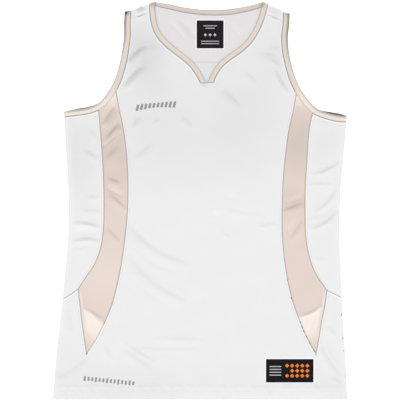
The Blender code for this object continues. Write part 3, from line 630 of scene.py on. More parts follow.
SOFT_SEAM = 1.45  # how much farther off a shoulder seam counts, which shows only faintly
NO_SEAM, JOIN_SOFT = 6.0, 4.0  # and a band's seam where it joins an insert
FADED, FADES_BELOW, FADE_SPAN = 0.55, -222.0, 20  # and the left insert's inner seam towards the tip
SEAM_REACH, INSERT_TOP = 12.0, 100.0


def joins_insert(points):
    """1 on the stretch of the armhole seams that joins an insert, and 0 past its ends."""
    x, y = points.T
    near = []
    for side, out in SIDES.items():
        row = INSERTS[side]
        starts = smooth((out * (x - row.inner_start) + JOIN_SOFT / 2) / JOIN_SOFT)
        near.append(starts * smooth((out * (row.outer_start - x) + JOIN_SOFT / 2) / JOIN_SOFT))
    return np.max(near, axis=0) * (y > INSERT_TOP)


def seam_distance(points):
    """Distance to the seams that show, up to SEAM_REACH: those that show less count as farther off."""
    plain = CLOTH_SEAMS["left"][1:] + CLOTH_SEAMS["right"] + NECK_SEAMS
    faded = FADED * smooth((FADES_BELOW - points[:, 1]) / FADE_SPAN)
    arms = NO_SEAM * joins_insert(points)
    groups = (plain, 0), (SHOULDER_SEAMS, SOFT_SEAM), (CLOTH_SEAMS["left"][:1], faded), (ARM_SEAMS, arms)
    return np.min([near_lines(points, lines, SEAM_REACH) + more for lines, more in groups], axis=0)


def front_height(points):
    """The front layer's outer face above the ground, with the form of its seams and hem."""
    return FRONT_TOP + rise(points) + seam_relief(seam_distance(points)) + hem_relief(points)


def inside_height(points):
    """The back's inner face above the ground."""
    return PANEL.thickness + back_rise(points)

# ---------------------------------------------------------------- meshes

SHARP = 62.0  # degrees between faces, from which an edge is sharp


def link(name, data):
    """An object at the origin, in the scene."""
    made = bpy.data.objects.new(name, data)
    bpy.context.scene.collection.objects.link(made)
    return made


def add_piece(name, points, faces, materials, slot, replaces=(), uv=None, face_material=None, **attributes):
    """Puts arrays of points (millimetres) and faces into a mesh, which rides on the one body.

    uv and attributes are for each point, and are repeated where a sheet's second face has the same, or uv
    is for each corner of a face.
    """
    mesh = bpy.data.meshes.new(name)
    mesh.from_pydata((np.asarray(points) * MM).tolist(), [], faces)
    for material in materials.split():
        mesh.materials.append(get_material(material))
    if face_material is not None:
        mesh.polygons.foreach_set("material_index", np.asarray(face_material, np.int32))
    for key, values in attributes.items():
        values = np.resize(values, len(points)).astype(np.float32)
        mesh.attributes.new(key, "FLOAT", "POINT").data.foreach_set("value", values)
    if uv is not None:
        if len(uv) <= len(points):
            corner = np.empty(len(mesh.loops), np.int32)
            mesh.loops.foreach_get("vertex_index", corner)
            uv = np.resize(uv, (len(points), 2))[corner]
        mesh.uv_layers.new(name="cloth").data.foreach_set("uv", np.asarray(uv * MM, np.float32).ravel())
    mesh.validate()
    mesh.shade_smooth()
    mesh.set_sharp_from_angle(angle=np.radians(SHARP))
    made = link(name, mesh)
    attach(made, "root")
    if replaces:
        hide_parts(*replaces)
    return made


def lattice(step, low, high):
    """Points in even rows, every other row shifted by half a step."""
    x, y = np.meshgrid(np.arange(low[0], high[0], step), np.arange(low[1], high[1], step * np.sqrt(3) / 2))
    x[1::2] += step / 2
    return np.column_stack([x.ravel(), y.ravel()])


def filled(outline, seams, rows, step):
    """Triangles that fill an outline, finer beside its seams and along rows of points."""
    closed = np.concatenate([outline, outline[:1]])
    even = lattice(step, outline.min(0), outline.max(0))
    loose = []
    for line in [line for line in seams if len(line) > 2]:
        for far in SEAM_ROWS:
            for points in (beside(line, -far), beside(line, far)):
                points = points[inside(points, outline)]
                loose.append(points[near_lines(points, [closed], far + SLACK) > SEAM_CLEAR * far])
    even = even[inside(even, outline)]
    even = even[near_lines(even, [closed], LATTICE_CLEAR + SLACK) > LATTICE_CLEAR]
    loose = np.concatenate([*loose, even[near_lines(even, rows, FOLD_CLEAR + SLACK) > FOLD_CLEAR]])
    loose = loose[near_lines(loose, rows, ROW_CLEAR + SLACK) > ROW_CLEAR]
    starts = len(outline) + len(loose) + np.cumsum([0] + [len(row) for row in rows])
    edges = [
        (first + k, first + k + 1)
        for first, row in zip(starts.tolist(), rows)
        for k in range(len(row) - 1)
    ]
    points, face, inner_only = np.concatenate([outline, loose, *rows]), [list(range(len(outline)))], 1
    result = delaunay_2d_cdt(points.tolist(), edges, face, inner_only, MERGE)
    return np.array([tuple(p) for p in result[0]]), np.array(result[2])


def grid_faces(rows, columns, width):
    """The corners of a grid's faces: (i, j), (i + 1, j), (i + 1, j + 1), (i, j + 1).

    The points lie row by row, width of them in a row, which closes up where it has no more than columns.
    """
    i, j = every(np.arange(rows), np.arange(columns))
    low, high, after = i * width, (i + 1) * width, (j + 1) % width
    return np.column_stack([low + j, high + j, high + after, low + after])


def shell(top, bottom, faces):
    """A closed sheet from two layers of points with the same faces, and a rim along their open edges."""
    count = len(top)
    sides = np.stack([faces, np.roll(faces, -1, axis=1)], axis=2).reshape(-1, 2)
    a, b = sides[~np.isin(sides @ [count, 1], sides @ [1, count])].T
    rim = np.column_stack([count + a, count + b, b, a])
    return np.concatenate([top, bottom]), faces.tolist() + (count + faces[:, ::-1]).tolist() + rim.tolist()


def fold_rows(fold, ends, shares):
    """Rows of points along a fold, in the flat cloth: each lies a share of the half turn past its line."""
    start, end = ends
    span = end - start
    length = np.linalg.norm(span)
    count = max(2, round(length / (2 * OUTLINE_STEP)) + 1)
    straight = np.linspace(start + span * ROW_END / length, end - span * ROW_END / length, count)
    beyond, out = fold(straight)
    line = straight - out * beyond[:, None]
    return [line + out * (HALF_TURN * share) for share in shares]


def skirt_edge(side):
    """The cloth's edge down a side below the side seam: it turns a quarter circle from the fold line."""
    high = INSERTS[side].seam_end
    return side_line(side, high, HEM, HALF_TURN / 2 - TURN_OUT, round((high - HEM) / (2 * OUTLINE_STEP)))


def front_half(side):
    """The outline of the centre front and its skirt on one side, from the neck to the hem."""
    seams = SEAMS[side]
    return [
        trimmed(NECK[side][1], below_yoke(side))[::-1],
        trimmed(seams["to_front"], below_yoke(side)),
        seams["inner"],
        seams["tail"][::-1],
        seams["side_seam"],
        skirt_edge(side),
    ]


def back_half(side):
    """The flat back's outline on one side, from the hem up to the neck seam."""
    seams, fold, shoulder = SEAMS[side], FOLDS["side", side], FOLDS["shoulder", side]
    front_seam, back_seam = ARM[side][1], ARM[side][3]
    return [
        skirt_edge(side)[::-1],
        opened(seams["side_seam"][::-1], fold),
        opened(seams["outer"][::-1], fold),
        opened(seams["to_side"], fold),
        across(front_seam[-1], fold)[::-1],
        back_seam[::-1],
        across(front_seam[0], shoulder),
        opened(trimmed(seams["to_front"], in_yoke(side)), shoulder),
        opened(trimmed(NECK[side][1], in_yoke(side))[::-1], shoulder),
        across(NECK[side][1][0], shoulder)[::-1],
    ]


def both_halves(first, *rest):
    """A closed outline, drawn in by half a seam's gap: one half, and the other one the other way."""
    return inset(joined(*first, *[line[::-1] for line in reversed(rest)]), SEAM_GAP / 2)


def front_layer(name, plan, triangles, beyond, tone_of, material, slot, replaces):
    """Lays a piece of the front layer, its side edges turned down by up to a quarter circle."""
    over = np.maximum(beyond, 0)
    out = np.column_stack([np.sign(plan[:, 0]), np.zeros(len(plan))])
    flat = plan - out * over[:, None]
    lift = np.where(over > 0, 0, front_height(flat) - FRONT_TOP)
    turn = np.pi - over / PANEL.radius
    points, polygons = shell(*panel_faces(flat, turn, out, lift), triangles)
    far = np.where(over > 0, SEAM_REACH, seam_distance(flat))
    return add_piece(name, points, polygons, material, slot, replaces, plan, edge=far, tone=tone_of(flat))


def make_front():
    """The centre front with its skirt: cut flat, laid, and its side edges turned down."""
    rows = hem_rows_across()
    for side in SIDES:
        ends = side_line(side, INSERTS[side].seam_end, HEM)
        rows += fold_rows(FOLDS["side", side], ends, FOLD_SHARES[:4])
    outline = both_halves(front_half("left"), *front_half("right"))
    plan, triangles = filled(outline, FRONT_SEAMS, rows, FRONT_LATTICE)
    beyond = np.max([FOLDS["side", side](plan)[0] for side in SIDES], axis=0)
    made = front_layer("front_panel", plan, triangles, beyond, knit_tone_and_shading, "knit", "white_knit", ["front"])
    return made


def make_insert(side):
    """A pointed insert: what lies between its seams, cut flat and laid."""
    seams = SEAMS[side]
    outline = joined(seams["to_insert"], seams["outer"], seams["tail"], seams["inner"][::-1])
    outline = inset(outline[:: -int(SIDES[side])], SEAM_GAP / 2)
    plan, triangles = filled(outline, FRONT_SEAMS, [], INSERT_LATTICE)
    made = front_layer(
        f"insert_{side}_cloth", plan, triangles, np.zeros(len(plan)), satin_tone_and_shading, "satin",
        "champagne_satin", [f"insert_{side}"],
    )  # fmt: skip
    return made


def make_back():
    """The back, cut flat with what folds forward.

    A point that lies b past a fold line turns by b / radius, up to half a circle, and what is left of b
    leads back inwards over the cloth.
    """
    rows, seams = hem_rows_across(), list(BACK_SEAMS)
    for side in SIDES:
        fold, seam_end, arm_seam = FOLDS["side", side], INSERTS[side].seam_end, ARM[side][1]
        shoulder, neck_seam, to_front = FOLDS["shoulder", side], NECK[side][1], SEAMS[side]["to_front"]
        rows += fold_rows(shoulder, (neck_seam[0], arm_seam[0]), FOLD_SHARES)
        rows += fold_rows(fold, side_line(side, arm_seam[-1][1], seam_end), FOLD_SHARES)
        rows += fold_rows(fold, side_line(side, seam_end, HEM), FOLD_SHARES[:4])
        seams += [opened(SEAMS[side][key], fold) for key in ("outer", "to_side", "side_seam")]
        seams += [opened(trimmed(line, in_yoke(side)), shoulder) for line in (to_front, neck_seam)]
        seams.append(opened(shoulder_seam(side), shoulder))
    outline = both_halves(back_half("right"), *back_half("left"), BACK_NECK[1])
    flat, triangles = filled(outline, seams, rows, BACK_LATTICE)
    plan, turn, out = flat.copy(), np.zeros(len(flat)), np.zeros((len(flat), 2))
    for fold in FOLDS.values():
        beyond, outwards = fold(flat)
        over = beyond > 0
        plan[over] = (flat - outwards * (beyond + np.maximum(beyond - HALF_TURN, 0))[:, None])[over]
        turn[over] = np.minimum(beyond / PANEL.radius, np.pi)[over]
        out[over] = outwards[over]
    front, back = turn == np.pi, turn == 0
    lift, far = np.zeros(len(flat)), np.full(len(flat), SEAM_REACH)
    lift[front] = front_height(plan[front]) - FRONT_TOP
    lift[back] = back_rise(plan[back]) + hem_pull(plan[back])
    points, polygons = shell(*panel_faces(plan, turn, out, lift)[::-1], triangles)
    far[front] = seam_distance(plan[front])
    far[back] = near_lines(plan[back], BACK_SEAMS, SEAM_REACH)
    # painted shade in the back layer's troughs, which its form leaves flat, and painted light on its ridges
    seen, creases = knit_tone_and_shading(plan) * front, CREASE_SHADE * creased(plan, BACK_CREASES) * back
    made = add_piece(
        "back_panel", points, polygons, "knit knit_inside", "white_knit", ["back"], flat,
        face_material=np.arange(len(polygons)) < len(triangles), edge=far,
        tone=np.concatenate([seen + creases, seen + 0.5 * creases + hem_tone(plan) * back]),
    )  # fmt: skip
    return made


FACING_LEVELS, FACING_HALF, FACING_X = (259.2, 206.0), (30, 6), 12.5  # top and bottom, half widths, middle
FACING_CLEAR, FACING_BULGE = 0.35, 0.15  # above the back, and how much more in the middle
FACING_FACES = (0.25, -0.2)  # from its own level
FACING_TONE, FACING_EDGE = -0.1, 0.11  # and how much darker its turned-in top edge is
FACING_EDGE_LEVEL, FACING_EDGE_REACH = 1.8, 2.6  # below the top, and to both sides of that
FACING_COUNT = 25


def make_neck_facing():
    """A small triangle of cloth behind the bottom of the V, sewn in under the bands."""
    (top, low), (wide, narrow) = FACING_LEVELS, FACING_HALF
    v, u = every(*[np.linspace(start, 1, FACING_COUNT + 1) for start in (0, -1)])
    plan = np.column_stack([FACING_X + u * (wide * (1 - v) + narrow * v), top + (low - top) * v])
    quads = grid_faces(FACING_COUNT, FACING_COUNT, FACING_COUNT + 1)
    triangles = np.concatenate([quads[:, [0, 1, 2]], quads[:, [0, 2, 3]]])
    level = inside_height(plan) + FACING_CLEAR + FACING_BULGE * bell(u)
    points, faces = shell(*[np.column_stack([plan, level + h]) for h in FACING_FACES], triangles)
    tone = FACING_TONE - FACING_EDGE * bell((top - FACING_EDGE_LEVEL - plan[:, 1]) / FACING_EDGE_REACH)
    made = add_piece("neck_facing", points, faces, "knit", "white_knit", [], plan, edge=SEAM_REACH, tone=tone)
    return made


# ---------------------------------------------------------------- tones of the cloth

# Soft patches of painted shade (below 0) and painted light, on the satin painted sheen, each an ellipse with
# soft edges: x and y of its middle, half sizes across and up, amount
KNIT_SHADE_AND_LIGHT = (
    (0, 260, 700, 290, -0.055), (-70, 110, 280, 175, -0.045), (-108, 285, 70, 75, -0.1),
    (-95, 235, 60, 70, -0.045), (95, 150, 120, 190, -0.03), (140, 290, 60, 90, -0.03),
    (-115, 359, 18, 12, -0.3), (-125, 346, 6, 7, -0.08), (140, 320, 14, 20, 0.03), (142, 355, 25, 12, -0.1),
    (-222, 60, 40, 130, -0.05), (-236, 70, 14, 110, -0.02), (232, 105, 40, 90, -0.035),
    (232, -40, 40, 90, -0.02), (-266, -331, 30, 16, -0.05), (-225, -320, 85, 120, -0.02),
    (-120, -350, 120, 60, -0.03), (255, -350, 50, 50, -0.03),
)  # fmt: skip
SATIN_SHEEN_AND_SHADE = (
    (-166, 85, 90, 130, -0.14), (-170, 190, 34, 24, 0.16), (-165, 60, 30, 22, 0.07),
    (-182, -140, 80, 80, 0.045), (185, 110, 90, 105, -0.155), (188, 192, 40, 32, 0.14),
    (197, 130, 18, 26, -0.03), (176, -5, 60, 45, -0.085),
)  # fmt: skip
# painted highlight along the sides, where the cloth folds over
SIDE_LIGHT, SIDE_LIGHT_REACH = 0.025, 14.0
TAIL_FOLDS = {  # lines across, from the left
    "left": ((-226, -201), (-211, -208.5), (-202, -214.5), (-195.4, -221), (-187.5, -227), (-174, -237)),
    "right": ((180, -219), (188, -219.3), (200, -216), (210, -212), (226, -200.5), (240, -190)),
}
TAIL_LIGHT, TAIL_RISE, TAIL_REACH, TAIL_FADE = 0.2, 3.0, 62.0, 34  # light below a fold, and how it ends
TAIL_SHADE, SHADE_ABOVE, SHADE_REACH = 0.03, 5, 7  # and a soft shade above it
TAIL_TOP, TAIL_TOP_SPAN = -165.0, 20  # where the strip and its line start
TAIL_STRIP, STRIP_SOFT, STRIP_TONE = 6.3, 1.2, 0.09  # the seam allowance shows beside a tail's outer seam
STRIP_LINE, STRIP_LINE_AT, STRIP_LINE_REACH = 0.09, 0.3, 1.5  # and ends in a thin dark line
STRIP_END, LINE_END = (-275, 25), (-262, 14)  # the levels where both end, and over what height they fade
TAIL_STREAKS = {"left": 0.5, "right": 1.8}
STREAKS = ((0.014, 1.1, 0.22, 0), (0.01, 0.47, -0.1, 1))  # height, turns across and up, phase


def toned(points, tones):
    """The sum of soft patches: amount * smooth(1 - r), r the distance from the middle of an ellipse."""
    total = np.zeros(len(points))
    for x, y, across, up, amount in tones:
        total += amount * smooth(1 - np.hypot((points[:, 0] - x) / across, (points[:, 1] - y) / up))
    return total


def cloth_shading(points, tones):
    """Painted light and shade of patches and creases: a trough gets less light from round about, a ridge
    more.
    """
    return toned(points, tones) + CREASE_SHADE * creased(points, FINE_CREASES)


def knit_tone_and_shading(points):
    """Painted shade and light of patches and creases, hem, and a painted highlight at the side folds."""
    sides = near_lines(points, SILHOUETTE[:2], SIDE_LIGHT_REACH)
    light = SIDE_LIGHT * smooth(1 - sides / SIDE_LIGHT_REACH)
    return cloth_shading(points, KNIT_SHADE_AND_LIGHT) + light + hem_tone(points)


def satin_tone_and_shading(points):
    """Painted shade and sheen in patches and creases, and a painted sheen below the soft fold across each
    tail, with a soft painted shade just above the fold, that fades towards the tip.

    It has faint streaks along it, and a plain strip beside the outer seam.
    """
    total = cloth_shading(points, SATIN_SHEEN_AND_SHADE)
    x, y = points.T
    streaks = sum(height * np.sin(x * across + y * up + phase) for height, across, up, phase in STREAKS)
    tail = smooth((TAIL_TOP - y) / TAIL_TOP_SPAN)
    strip_ends, line_ends = (smooth((y - level) / span) for level, span in (STRIP_END, LINE_END))
    for side, fold in TAIL_FOLDS.items():
        below = np.interp(x, *curve(fold).T) - y
        # painted sheen below the fold, with painted streaks, and painted shade just above it
        light = TAIL_LIGHT + TAIL_STREAKS[side] * streaks
        light = light * smooth(below / TAIL_RISE) * smooth((TAIL_REACH - below) / TAIL_FADE)
        light -= TAIL_SHADE * bell((below + SHADE_ABOVE) / SHADE_REACH)
        seam = near_lines(points, [SEAMS[side]["tail"]], TAIL_REACH)
        strip = smooth((TAIL_STRIP - seam) / STRIP_SOFT) * tail
        line = STRIP_LINE * bell((seam - TAIL_STRIP - STRIP_LINE_AT) / STRIP_LINE_REACH) * tail * line_ends
        own = x * SIDES[side] > 0
        total += own * (light * (1 - strip) + STRIP_TONE * strip * strip_ends - line)
    return total


# ---------------------------------------------------------------- bands

BAND_PROFILE = (  # shares of the width from the seam, and of half the thickness over the middle
    (0.0, 0.30), (0.03, 0.66), (0.08, 0.84), (0.125, 0.66), (0.17, 0.86), (0.3, 0.97), (0.5, 1.0),
    (0.7, 0.97), (0.84, 0.86), (0.92, 0.66), (0.975, 0.36), (1.0, 0.0),
)  # fmt: skip
BAND_CLEAR = 0.12
BAND_OUTER_SHADE = (  # painted shade on the outer half of the bands
    (-142, 340, 22, 85, -0.48), (168, 325, 22, 100, -0.45), (-226, 172, 60, 20, -0.3),
    (246, 166, 66, 22, -0.25),
)  # fmt: skip
BAND_END_SHADE = (  # and painted shade on their whole width
    (-137, 353, 12, 12, -0.65), (163, 348, 10, 10, -0.22), (-89, 366, 11, 10, -0.36),
    (118, 365, 11, 10, -0.3), (164, 310, 14, 70, -0.06),
)  # fmt: skip
OUTER_FROM, OUTER_TO = 0.45, 0.75  # shares of the width
# painted shade towards the free edge, where a band rolls down, and on the back layer's bands
FREE_EDGE_SHADE, FREE_EDGE_FROM = -0.16, 0.6
BACK_BAND_SHADE = -0.1
UNDERARM, UNDERARM_SPAN = 215.0, 30  # below it the inside of the armhole bands' back half is in deep shade
# painted shade there, and painted light on the inner half of the other bands
UNDERARM_SHADE, UNDERARM_LIGHT = -0.45, 0.17


def round_fold(seam, edge, place, side, forward):
    """Stations round a fold between the layers. Going forward they run from the back layer to the front."""
    shares = FOLD_SHARES[1:-1] if forward else FOLD_SHARES[-2:0:-1]
    out = FOLDS[place, side](seam[None])[1][0]
    seam, edge, out = (np.tile(point, (len(shares), 1)) for point in (seam, edge, out))
    return seam, edge, np.pi * shares, out


def flat_stretch(seam, edge, turn):
    """Stations along a flat stretch, at the seam line's own points."""
    count = len(seam)
    return seam, divided(edge, count), np.full(count, turn), np.zeros((count, 2))


def make_band(name, replaces, closed, stretches):
    """A folded strip: its cross-section carried along the stations from seam to free edge.

    The cross-section is BAND_PROFILE, out on the outer side and back on the inner one.
    """
    seam, edge, turn, out = (np.concatenate(part) for part in zip(*stretches))
    width = np.linalg.norm(edge - seam, axis=1)[:, None]
    seam = seam + (edge - seam) / width * BAND_CLEAR
    rung = edge - seam
    share, height = np.array([*BAND_PROFILE, *[(s, -h) for s, h in BAND_PROFILE[-2::-1]]]).T
    stations, ring = len(seam), len(share)
    plan = (seam[:, None] + rung[:, None] * share[:, None]).reshape(-1, 2)
    turns, outs = np.repeat(turn, ring), np.repeat(out, ring, axis=0)
    lift = np.zeros(len(plan))
    lift[turns == np.pi] = rise(plan[turns == np.pi])
    points = turned(plan, turns, outs, np.tile(height * BAND.thickness / 2, stations), BAND, lift)
    rows = stations if closed else stations - 1
    faces = grid_faces(rows, ring, ring)[:, [0, 3, 2, 1]] % (stations * ring)
    at = along(seam)
    at = np.append(at, at[-1] + OUTLINE_STEP)
    around = along(np.column_stack([share * width.mean(), height]))
    uv = np.column_stack([np.repeat(at, ring + 1), np.tile(np.append(around, around[-1] + 1), stations + 1)])
    uv = uv[grid_faces(rows, ring, ring + 1)[:, [0, 3, 2, 1]]]
    ends = [list(range(ring))[::-1], list(range((stations - 1) * ring, stations * ring))]
    if volume(points, faces) < 0:
        faces, uv, ends = faces[:, ::-1], uv[:, ::-1], [end[::-1] for end in ends]
    uv = np.concatenate([uv.reshape(-1, 2), np.zeros((0 if closed else 2 * ring, 2))])
    far = np.minimum((share * width).ravel() + NO_SEAM * joins_insert(plan), ((1 - share) * width).ravel())
    made = add_piece(
        name, points, faces.tolist() + ends * (not closed), "band", "champagne_rib", [replaces], uv,
        edge=far, tone=band_shading(plan, turns, np.tile(share, stations), np.tile(height > 0, stations)),
    )  # fmt: skip
    return made


def volume(points, faces):
    """Above 0 when four-sided faces look outwards."""
    a, b, c, d = np.moveaxis(points[faces], 1, 0)
    return (a * (np.cross(b, c) + np.cross(c, d))).sum()


def band_shading(points, turns, share, outside):
    """Painted shade: towards the free edge, in soft patches and inside the back layer, whose outside is
    plain.
    """
    outer = smooth((share - OUTER_FROM) / (OUTER_TO - OUTER_FROM))
    edge = FREE_EDGE_SHADE * smooth((share - FREE_EDGE_FROM) / (1 - FREE_EDGE_FROM))
    low = smooth((UNDERARM - points[:, 1]) / UNDERARM_SPAN)
    back = np.where(turns == 0, BACK_BAND_SHADE + UNDERARM_SHADE * low, UNDERARM_LIGHT * low * (1 - outer))
    patches = toned(points, BAND_OUTER_SHADE) * outer + toned(points, BAND_END_SHADE) + back
    return edge + patches * ~(outside & (turns == 0))


def make_neck_band():
    """A strip from the bottom of the V over a shoulder, across the back of the neck and down again."""
    ends = []
    for side in SIDES:
        edge, seam = (trimmed(line, above(NECK_POINT + SEAM_GAP / 2)) for line in NECK[side])
        edge[-1, 0] = NECK_POINT_X + SIDES[side] * SEAM_GAP / 2
        ends.append((seam, edge))
    left, right = ends
    return make_band("neck_band", "neck_binding", False, [
        flat_stretch(left[0][::-1], left[1][::-1], np.pi),
        round_fold(left[0][0], left[1][0], "shoulder", "left", False),
        flat_stretch(BACK_NECK[1], BACK_NECK[0], 0.0),
        round_fold(right[0][0], right[1][0], "shoulder", "right", True),
        flat_stretch(*right, np.pi),
    ])  # fmt: skip


def make_armhole_band(side):
    """A ring: down the front, round the side fold, up the back and round the shoulder fold."""
    front_edge, front_seam, back_edge, back_seam = ARM[side]
    return make_band(f"armhole_band_{side}", f"armhole_binding_{side}", True, [
        flat_stretch(front_seam, front_edge, np.pi),
        round_fold(front_seam[-1], front_edge[-1], "side", side, False),
        flat_stretch(back_seam[::-1], back_edge[::-1], 0.0),
        round_fold(front_seam[0], front_edge[0], "shoulder", side, True),
    ])  # fmt: skip


# ---------------------------------------------------------------- patches and prints

Plate = namedtuple("Plate", "x y width depth corner thickness turn", defaults=(0,))
FILM = 0.14
ON_GROUND = -0.02  # how far the plates on a patch are sunk into its ground
RANGE_EVEN, RANGE_SOFT = 0.8, 0.2
EDGE_ROUND, EDGE_SHARE = 1.2, 0.35  # over how many thicknesses a plate is rounded, and where it starts


def soft_range(count):
    """Even steps from -1 to 1 that close up towards both ends."""
    even = np.linspace(-1, 1, count + 1)
    return RANGE_EVEN * even + RANGE_SOFT * np.sin(np.pi / 2 * even)


def plate_grid(plate, step):
    """Points of a rounded rectangle on a grid of (u, v) from -1 to 1, and the faces between them.

    A point is (a u, b v) with a and b half its sizes, drawn in at the corners towards circles of the
    corner's radius, then turned.
    """
    a, b, r = plate.width / 2, plate.depth / 2, plate.corner
    across_count, up_count = (max(4, round(2 * half / step)) for half in (a, b))
    u, v = every(soft_range(across_count), soft_range(up_count))
    x, y = u * a, v * b
    over_x, over_y = np.maximum(np.abs(x) - (a - r), 0), np.maximum(np.abs(y) - (b - r), 0)
    both = np.hypot(over_x, over_y)
    shrink = np.where(both > 0, np.maximum(over_x, over_y) / np.where(both > 0, both, 1), 1)
    x = np.sign(x) * (np.minimum(np.abs(x), a - r) + over_x * shrink)
    y = np.sign(y) * (np.minimum(np.abs(y), b - r) + over_y * shrink)
    cos, sin = np.cos(np.radians(plate.turn)), np.sin(np.radians(plate.turn))
    plan = np.column_stack([plate.x + (x * cos - y * sin), plate.y + (x * sin + y * cos)])
    edge = np.minimum((1 - np.abs(u)) * a, (1 - np.abs(v)) * b)
    return plan, grid_faces(across_count, up_count, up_count + 1), edge


def plates(name, several, surface, material, slot, step=1.6, lift=0.0, replaces=()):
    """Thin rounded plates that follow the cloth below them, all in one mesh."""
    points, faces, edges, first = [], [], [], 0
    for plate in several:
        plan, quads, edge = plate_grid(plate, step)
        base = surface(plan) + lift
        soft = plate.thickness * smooth(edge / (EDGE_ROUND * plate.thickness) + EDGE_SHARE)
        both, polygons = shell(np.column_stack([plan, base + soft]), np.column_stack([plan, base]), quads)
        points.append(both)
        faces += (first + np.array(polygons)).tolist()
        edges += [edge, edge]
        first += len(both)
    points, edges = np.concatenate(points), np.concatenate(edges)
    return add_piece(name, points, faces, material, slot, replaces, points[:, :2], edge=edges, tone=0.0)


def lozenges(x, y, count, pitch, size):
    """Small squares stood on a corner, side by side."""
    middle = (count - 1) / 2
    return [Plate(x + (i - middle) * pitch, y, size, size, 0.4, FILM, 45) for i in range(count)]


def make_patch(place, surface, film, ground, lift, motifs):
    """A patch on a panel: its film, its ground, and plates of other colours on it.

    film and ground: how much wider and deeper than the patch, corner, thickness. motifs: by name, their
    material and their plates, placed from the patch's middle.
    """
    low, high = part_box(f"{place}_label")
    x, y, _ = (low + high) / 2 / MM
    width, depth, _ = (high - low) / MM
    border, made = (
        plates(
            f"{place}_patch{end}", [Plate(x, y, width + wider, depth + deeper, corner, thickness)], surface,
            material, slot, lift=up, replaces=replaces,
        )
        for end, (wider, deeper, corner, thickness), material, slot, up, replaces in (
            ("_border", film, "patch_border", "white_knit", 0.0, []),
            ("", ground, "patch_black", "black_label", lift, [f"{place}_label"]),
        )
    )  # fmt: skip
    on_it = [
        plates(
            f"{place}_patch_{name}", [plate._replace(x=x + plate.x, y=y + plate.y) for plate in several],
            surface, material, "black_label", lift=lift + ground[3] + ON_GROUND,
        )
        for name, (material, several) in motifs.items()
    ]  # fmt: skip


def make_patches():
    """The hem's patch, with rows of lozenges and four rules, and the neck's, with rules and one row."""
    rows = [lozenges(x, y, count, 9.5, 5.6) for x, y, count in ((14, 9.5, 5), (18.75, 0, 4), (14, -9.5, 5))]
    rules = [Plate(-27, y, 22, 1.7, 0.5, FILM) for y in (8, 2.6, -2.8, -8.2)]
    motifs = {"lozenges": ("patch_orange", sum(rows, [])), "rules": ("patch_pale", rules)}
    make_patch("hem", front_height, (2, 2, 2.5, 0.3), (-2, -1, 0.8, 0.6), 0.25, motifs)
    rules = [Plate(0, y, long, 1.3, 0.4, FILM) for y, long in ((16, 26), (11.5, 18), (-13, 34), (-17.5, 34))]
    motifs = {"rules": ("patch_pale", rules + lozenges(0, -1, 3, 9.0, 4.2))}
    make_patch("neck", inside_height, (1, 1, 1.5, 0.25), (-2.4, -2, 0.8, 0.5), 0.2, motifs)


def make_prints():
    """A gentle arc of slanting dashes on the chest, and a row of small dashes above the hem."""
    arc = [
        Plate(-117 + 69 * s, 171.5 + 13 * s - 7 * s * s, 4.6, 12 - 3 * bell(2 * s - 1), 0.8, FILM, -14)
        for s in (i / 9 for i in range(10))
    ]
    row = [
        Plate(-216 + 91 * i / 13, -336 - 9 * i / 13, 3.6, 7.5 if i % 3 else 9.5, 0.8, FILM, -8)
        for i in range(14)
    ]
    for name, dashes in (("chest_print", arc), ("hem_print", row)):
        plates(name, dashes, front_height, "print_grey", "black_label", step=1.2, lift=0.03)


# ---------------------------------------------------------------- stitching

Stitch = namedtuple("Stitch", "pitch length width height")
SEAM_STITCH, FINE_STITCH = Stitch(2.9, 2.3, 0.75, 0.34), Stitch(3.0, 2.2, 0.5, 0.3)
HEM_STITCH, COVER_STITCH = Stitch(3.1, 2.5, 0.6, 0.34), Stitch(3.0, 3.1, 1.3, 0.3)
BAR_STITCH = Stitch(1.1, 1.3, 0.5, 0.35)
BARS = (1, 15, 216.9), (2, 14, 213.2)  # two short bars at the bottom of the V: from x to x, and y
# Single dark stitches: x, y and length of each, by their way, width and height
MARKS = (
    ((0.43, -0.9), 1.4, 0.7, (  # along the inserts' lower seams
        (163.9, -151.5, 2.5), (171, -185.2, 4.5), (188, -231, 3), (191.2, -239.5, 5.5), (194.6, -247.5, 4),
        (199.4, -257.5, 5), (205.4, -269.8, 4), (213.6, -284.2, 3), (217.6, -291.3, 2.5), (-212.6, -290.2, 3),
    )),
    ((0.06, -1), 1.0, 0.7, (  # down the edge at the right
        (264.9, -216.5, 5.5), (267.9, -260.5, 4.2), (269.4, -284, 1.8), (273.2, -331, 2.2),
    )),
)  # fmt: skip
STATIONS, RING, THREAD_ENDS = 5, 6, 1.6  # rings of a thread, points in each, and how full its ends are
SEAM_LIFT, HEM_LIFT, BAR_LIFT, MARK_LIFT = 0.1, 0.05, 0.08, 0.2  # how far up these threads lie
# The rows round an insert: its seams, which way they lie, and how many points are left off at both ends
SATIN_ROWS, SATIN_INSET = (("inner", -1, (4, -6)), ("outer", 1, (4, -1)), ("tail", 1, (2, -6))), 3.6
BAND_INSET, BACK_BAND_INSET, BAND_SINK = 1.45, 1.4, 0.14
NECK_END = 3  # how far above the bottom of the V the bands' stitches end
BACK_NECK_ROW = 5.6  # below the neck seam
HEM_END, HEM_COUNT, HEM_INSIDE = 2.0, 200, 0.2
BAR_COUNT = 9


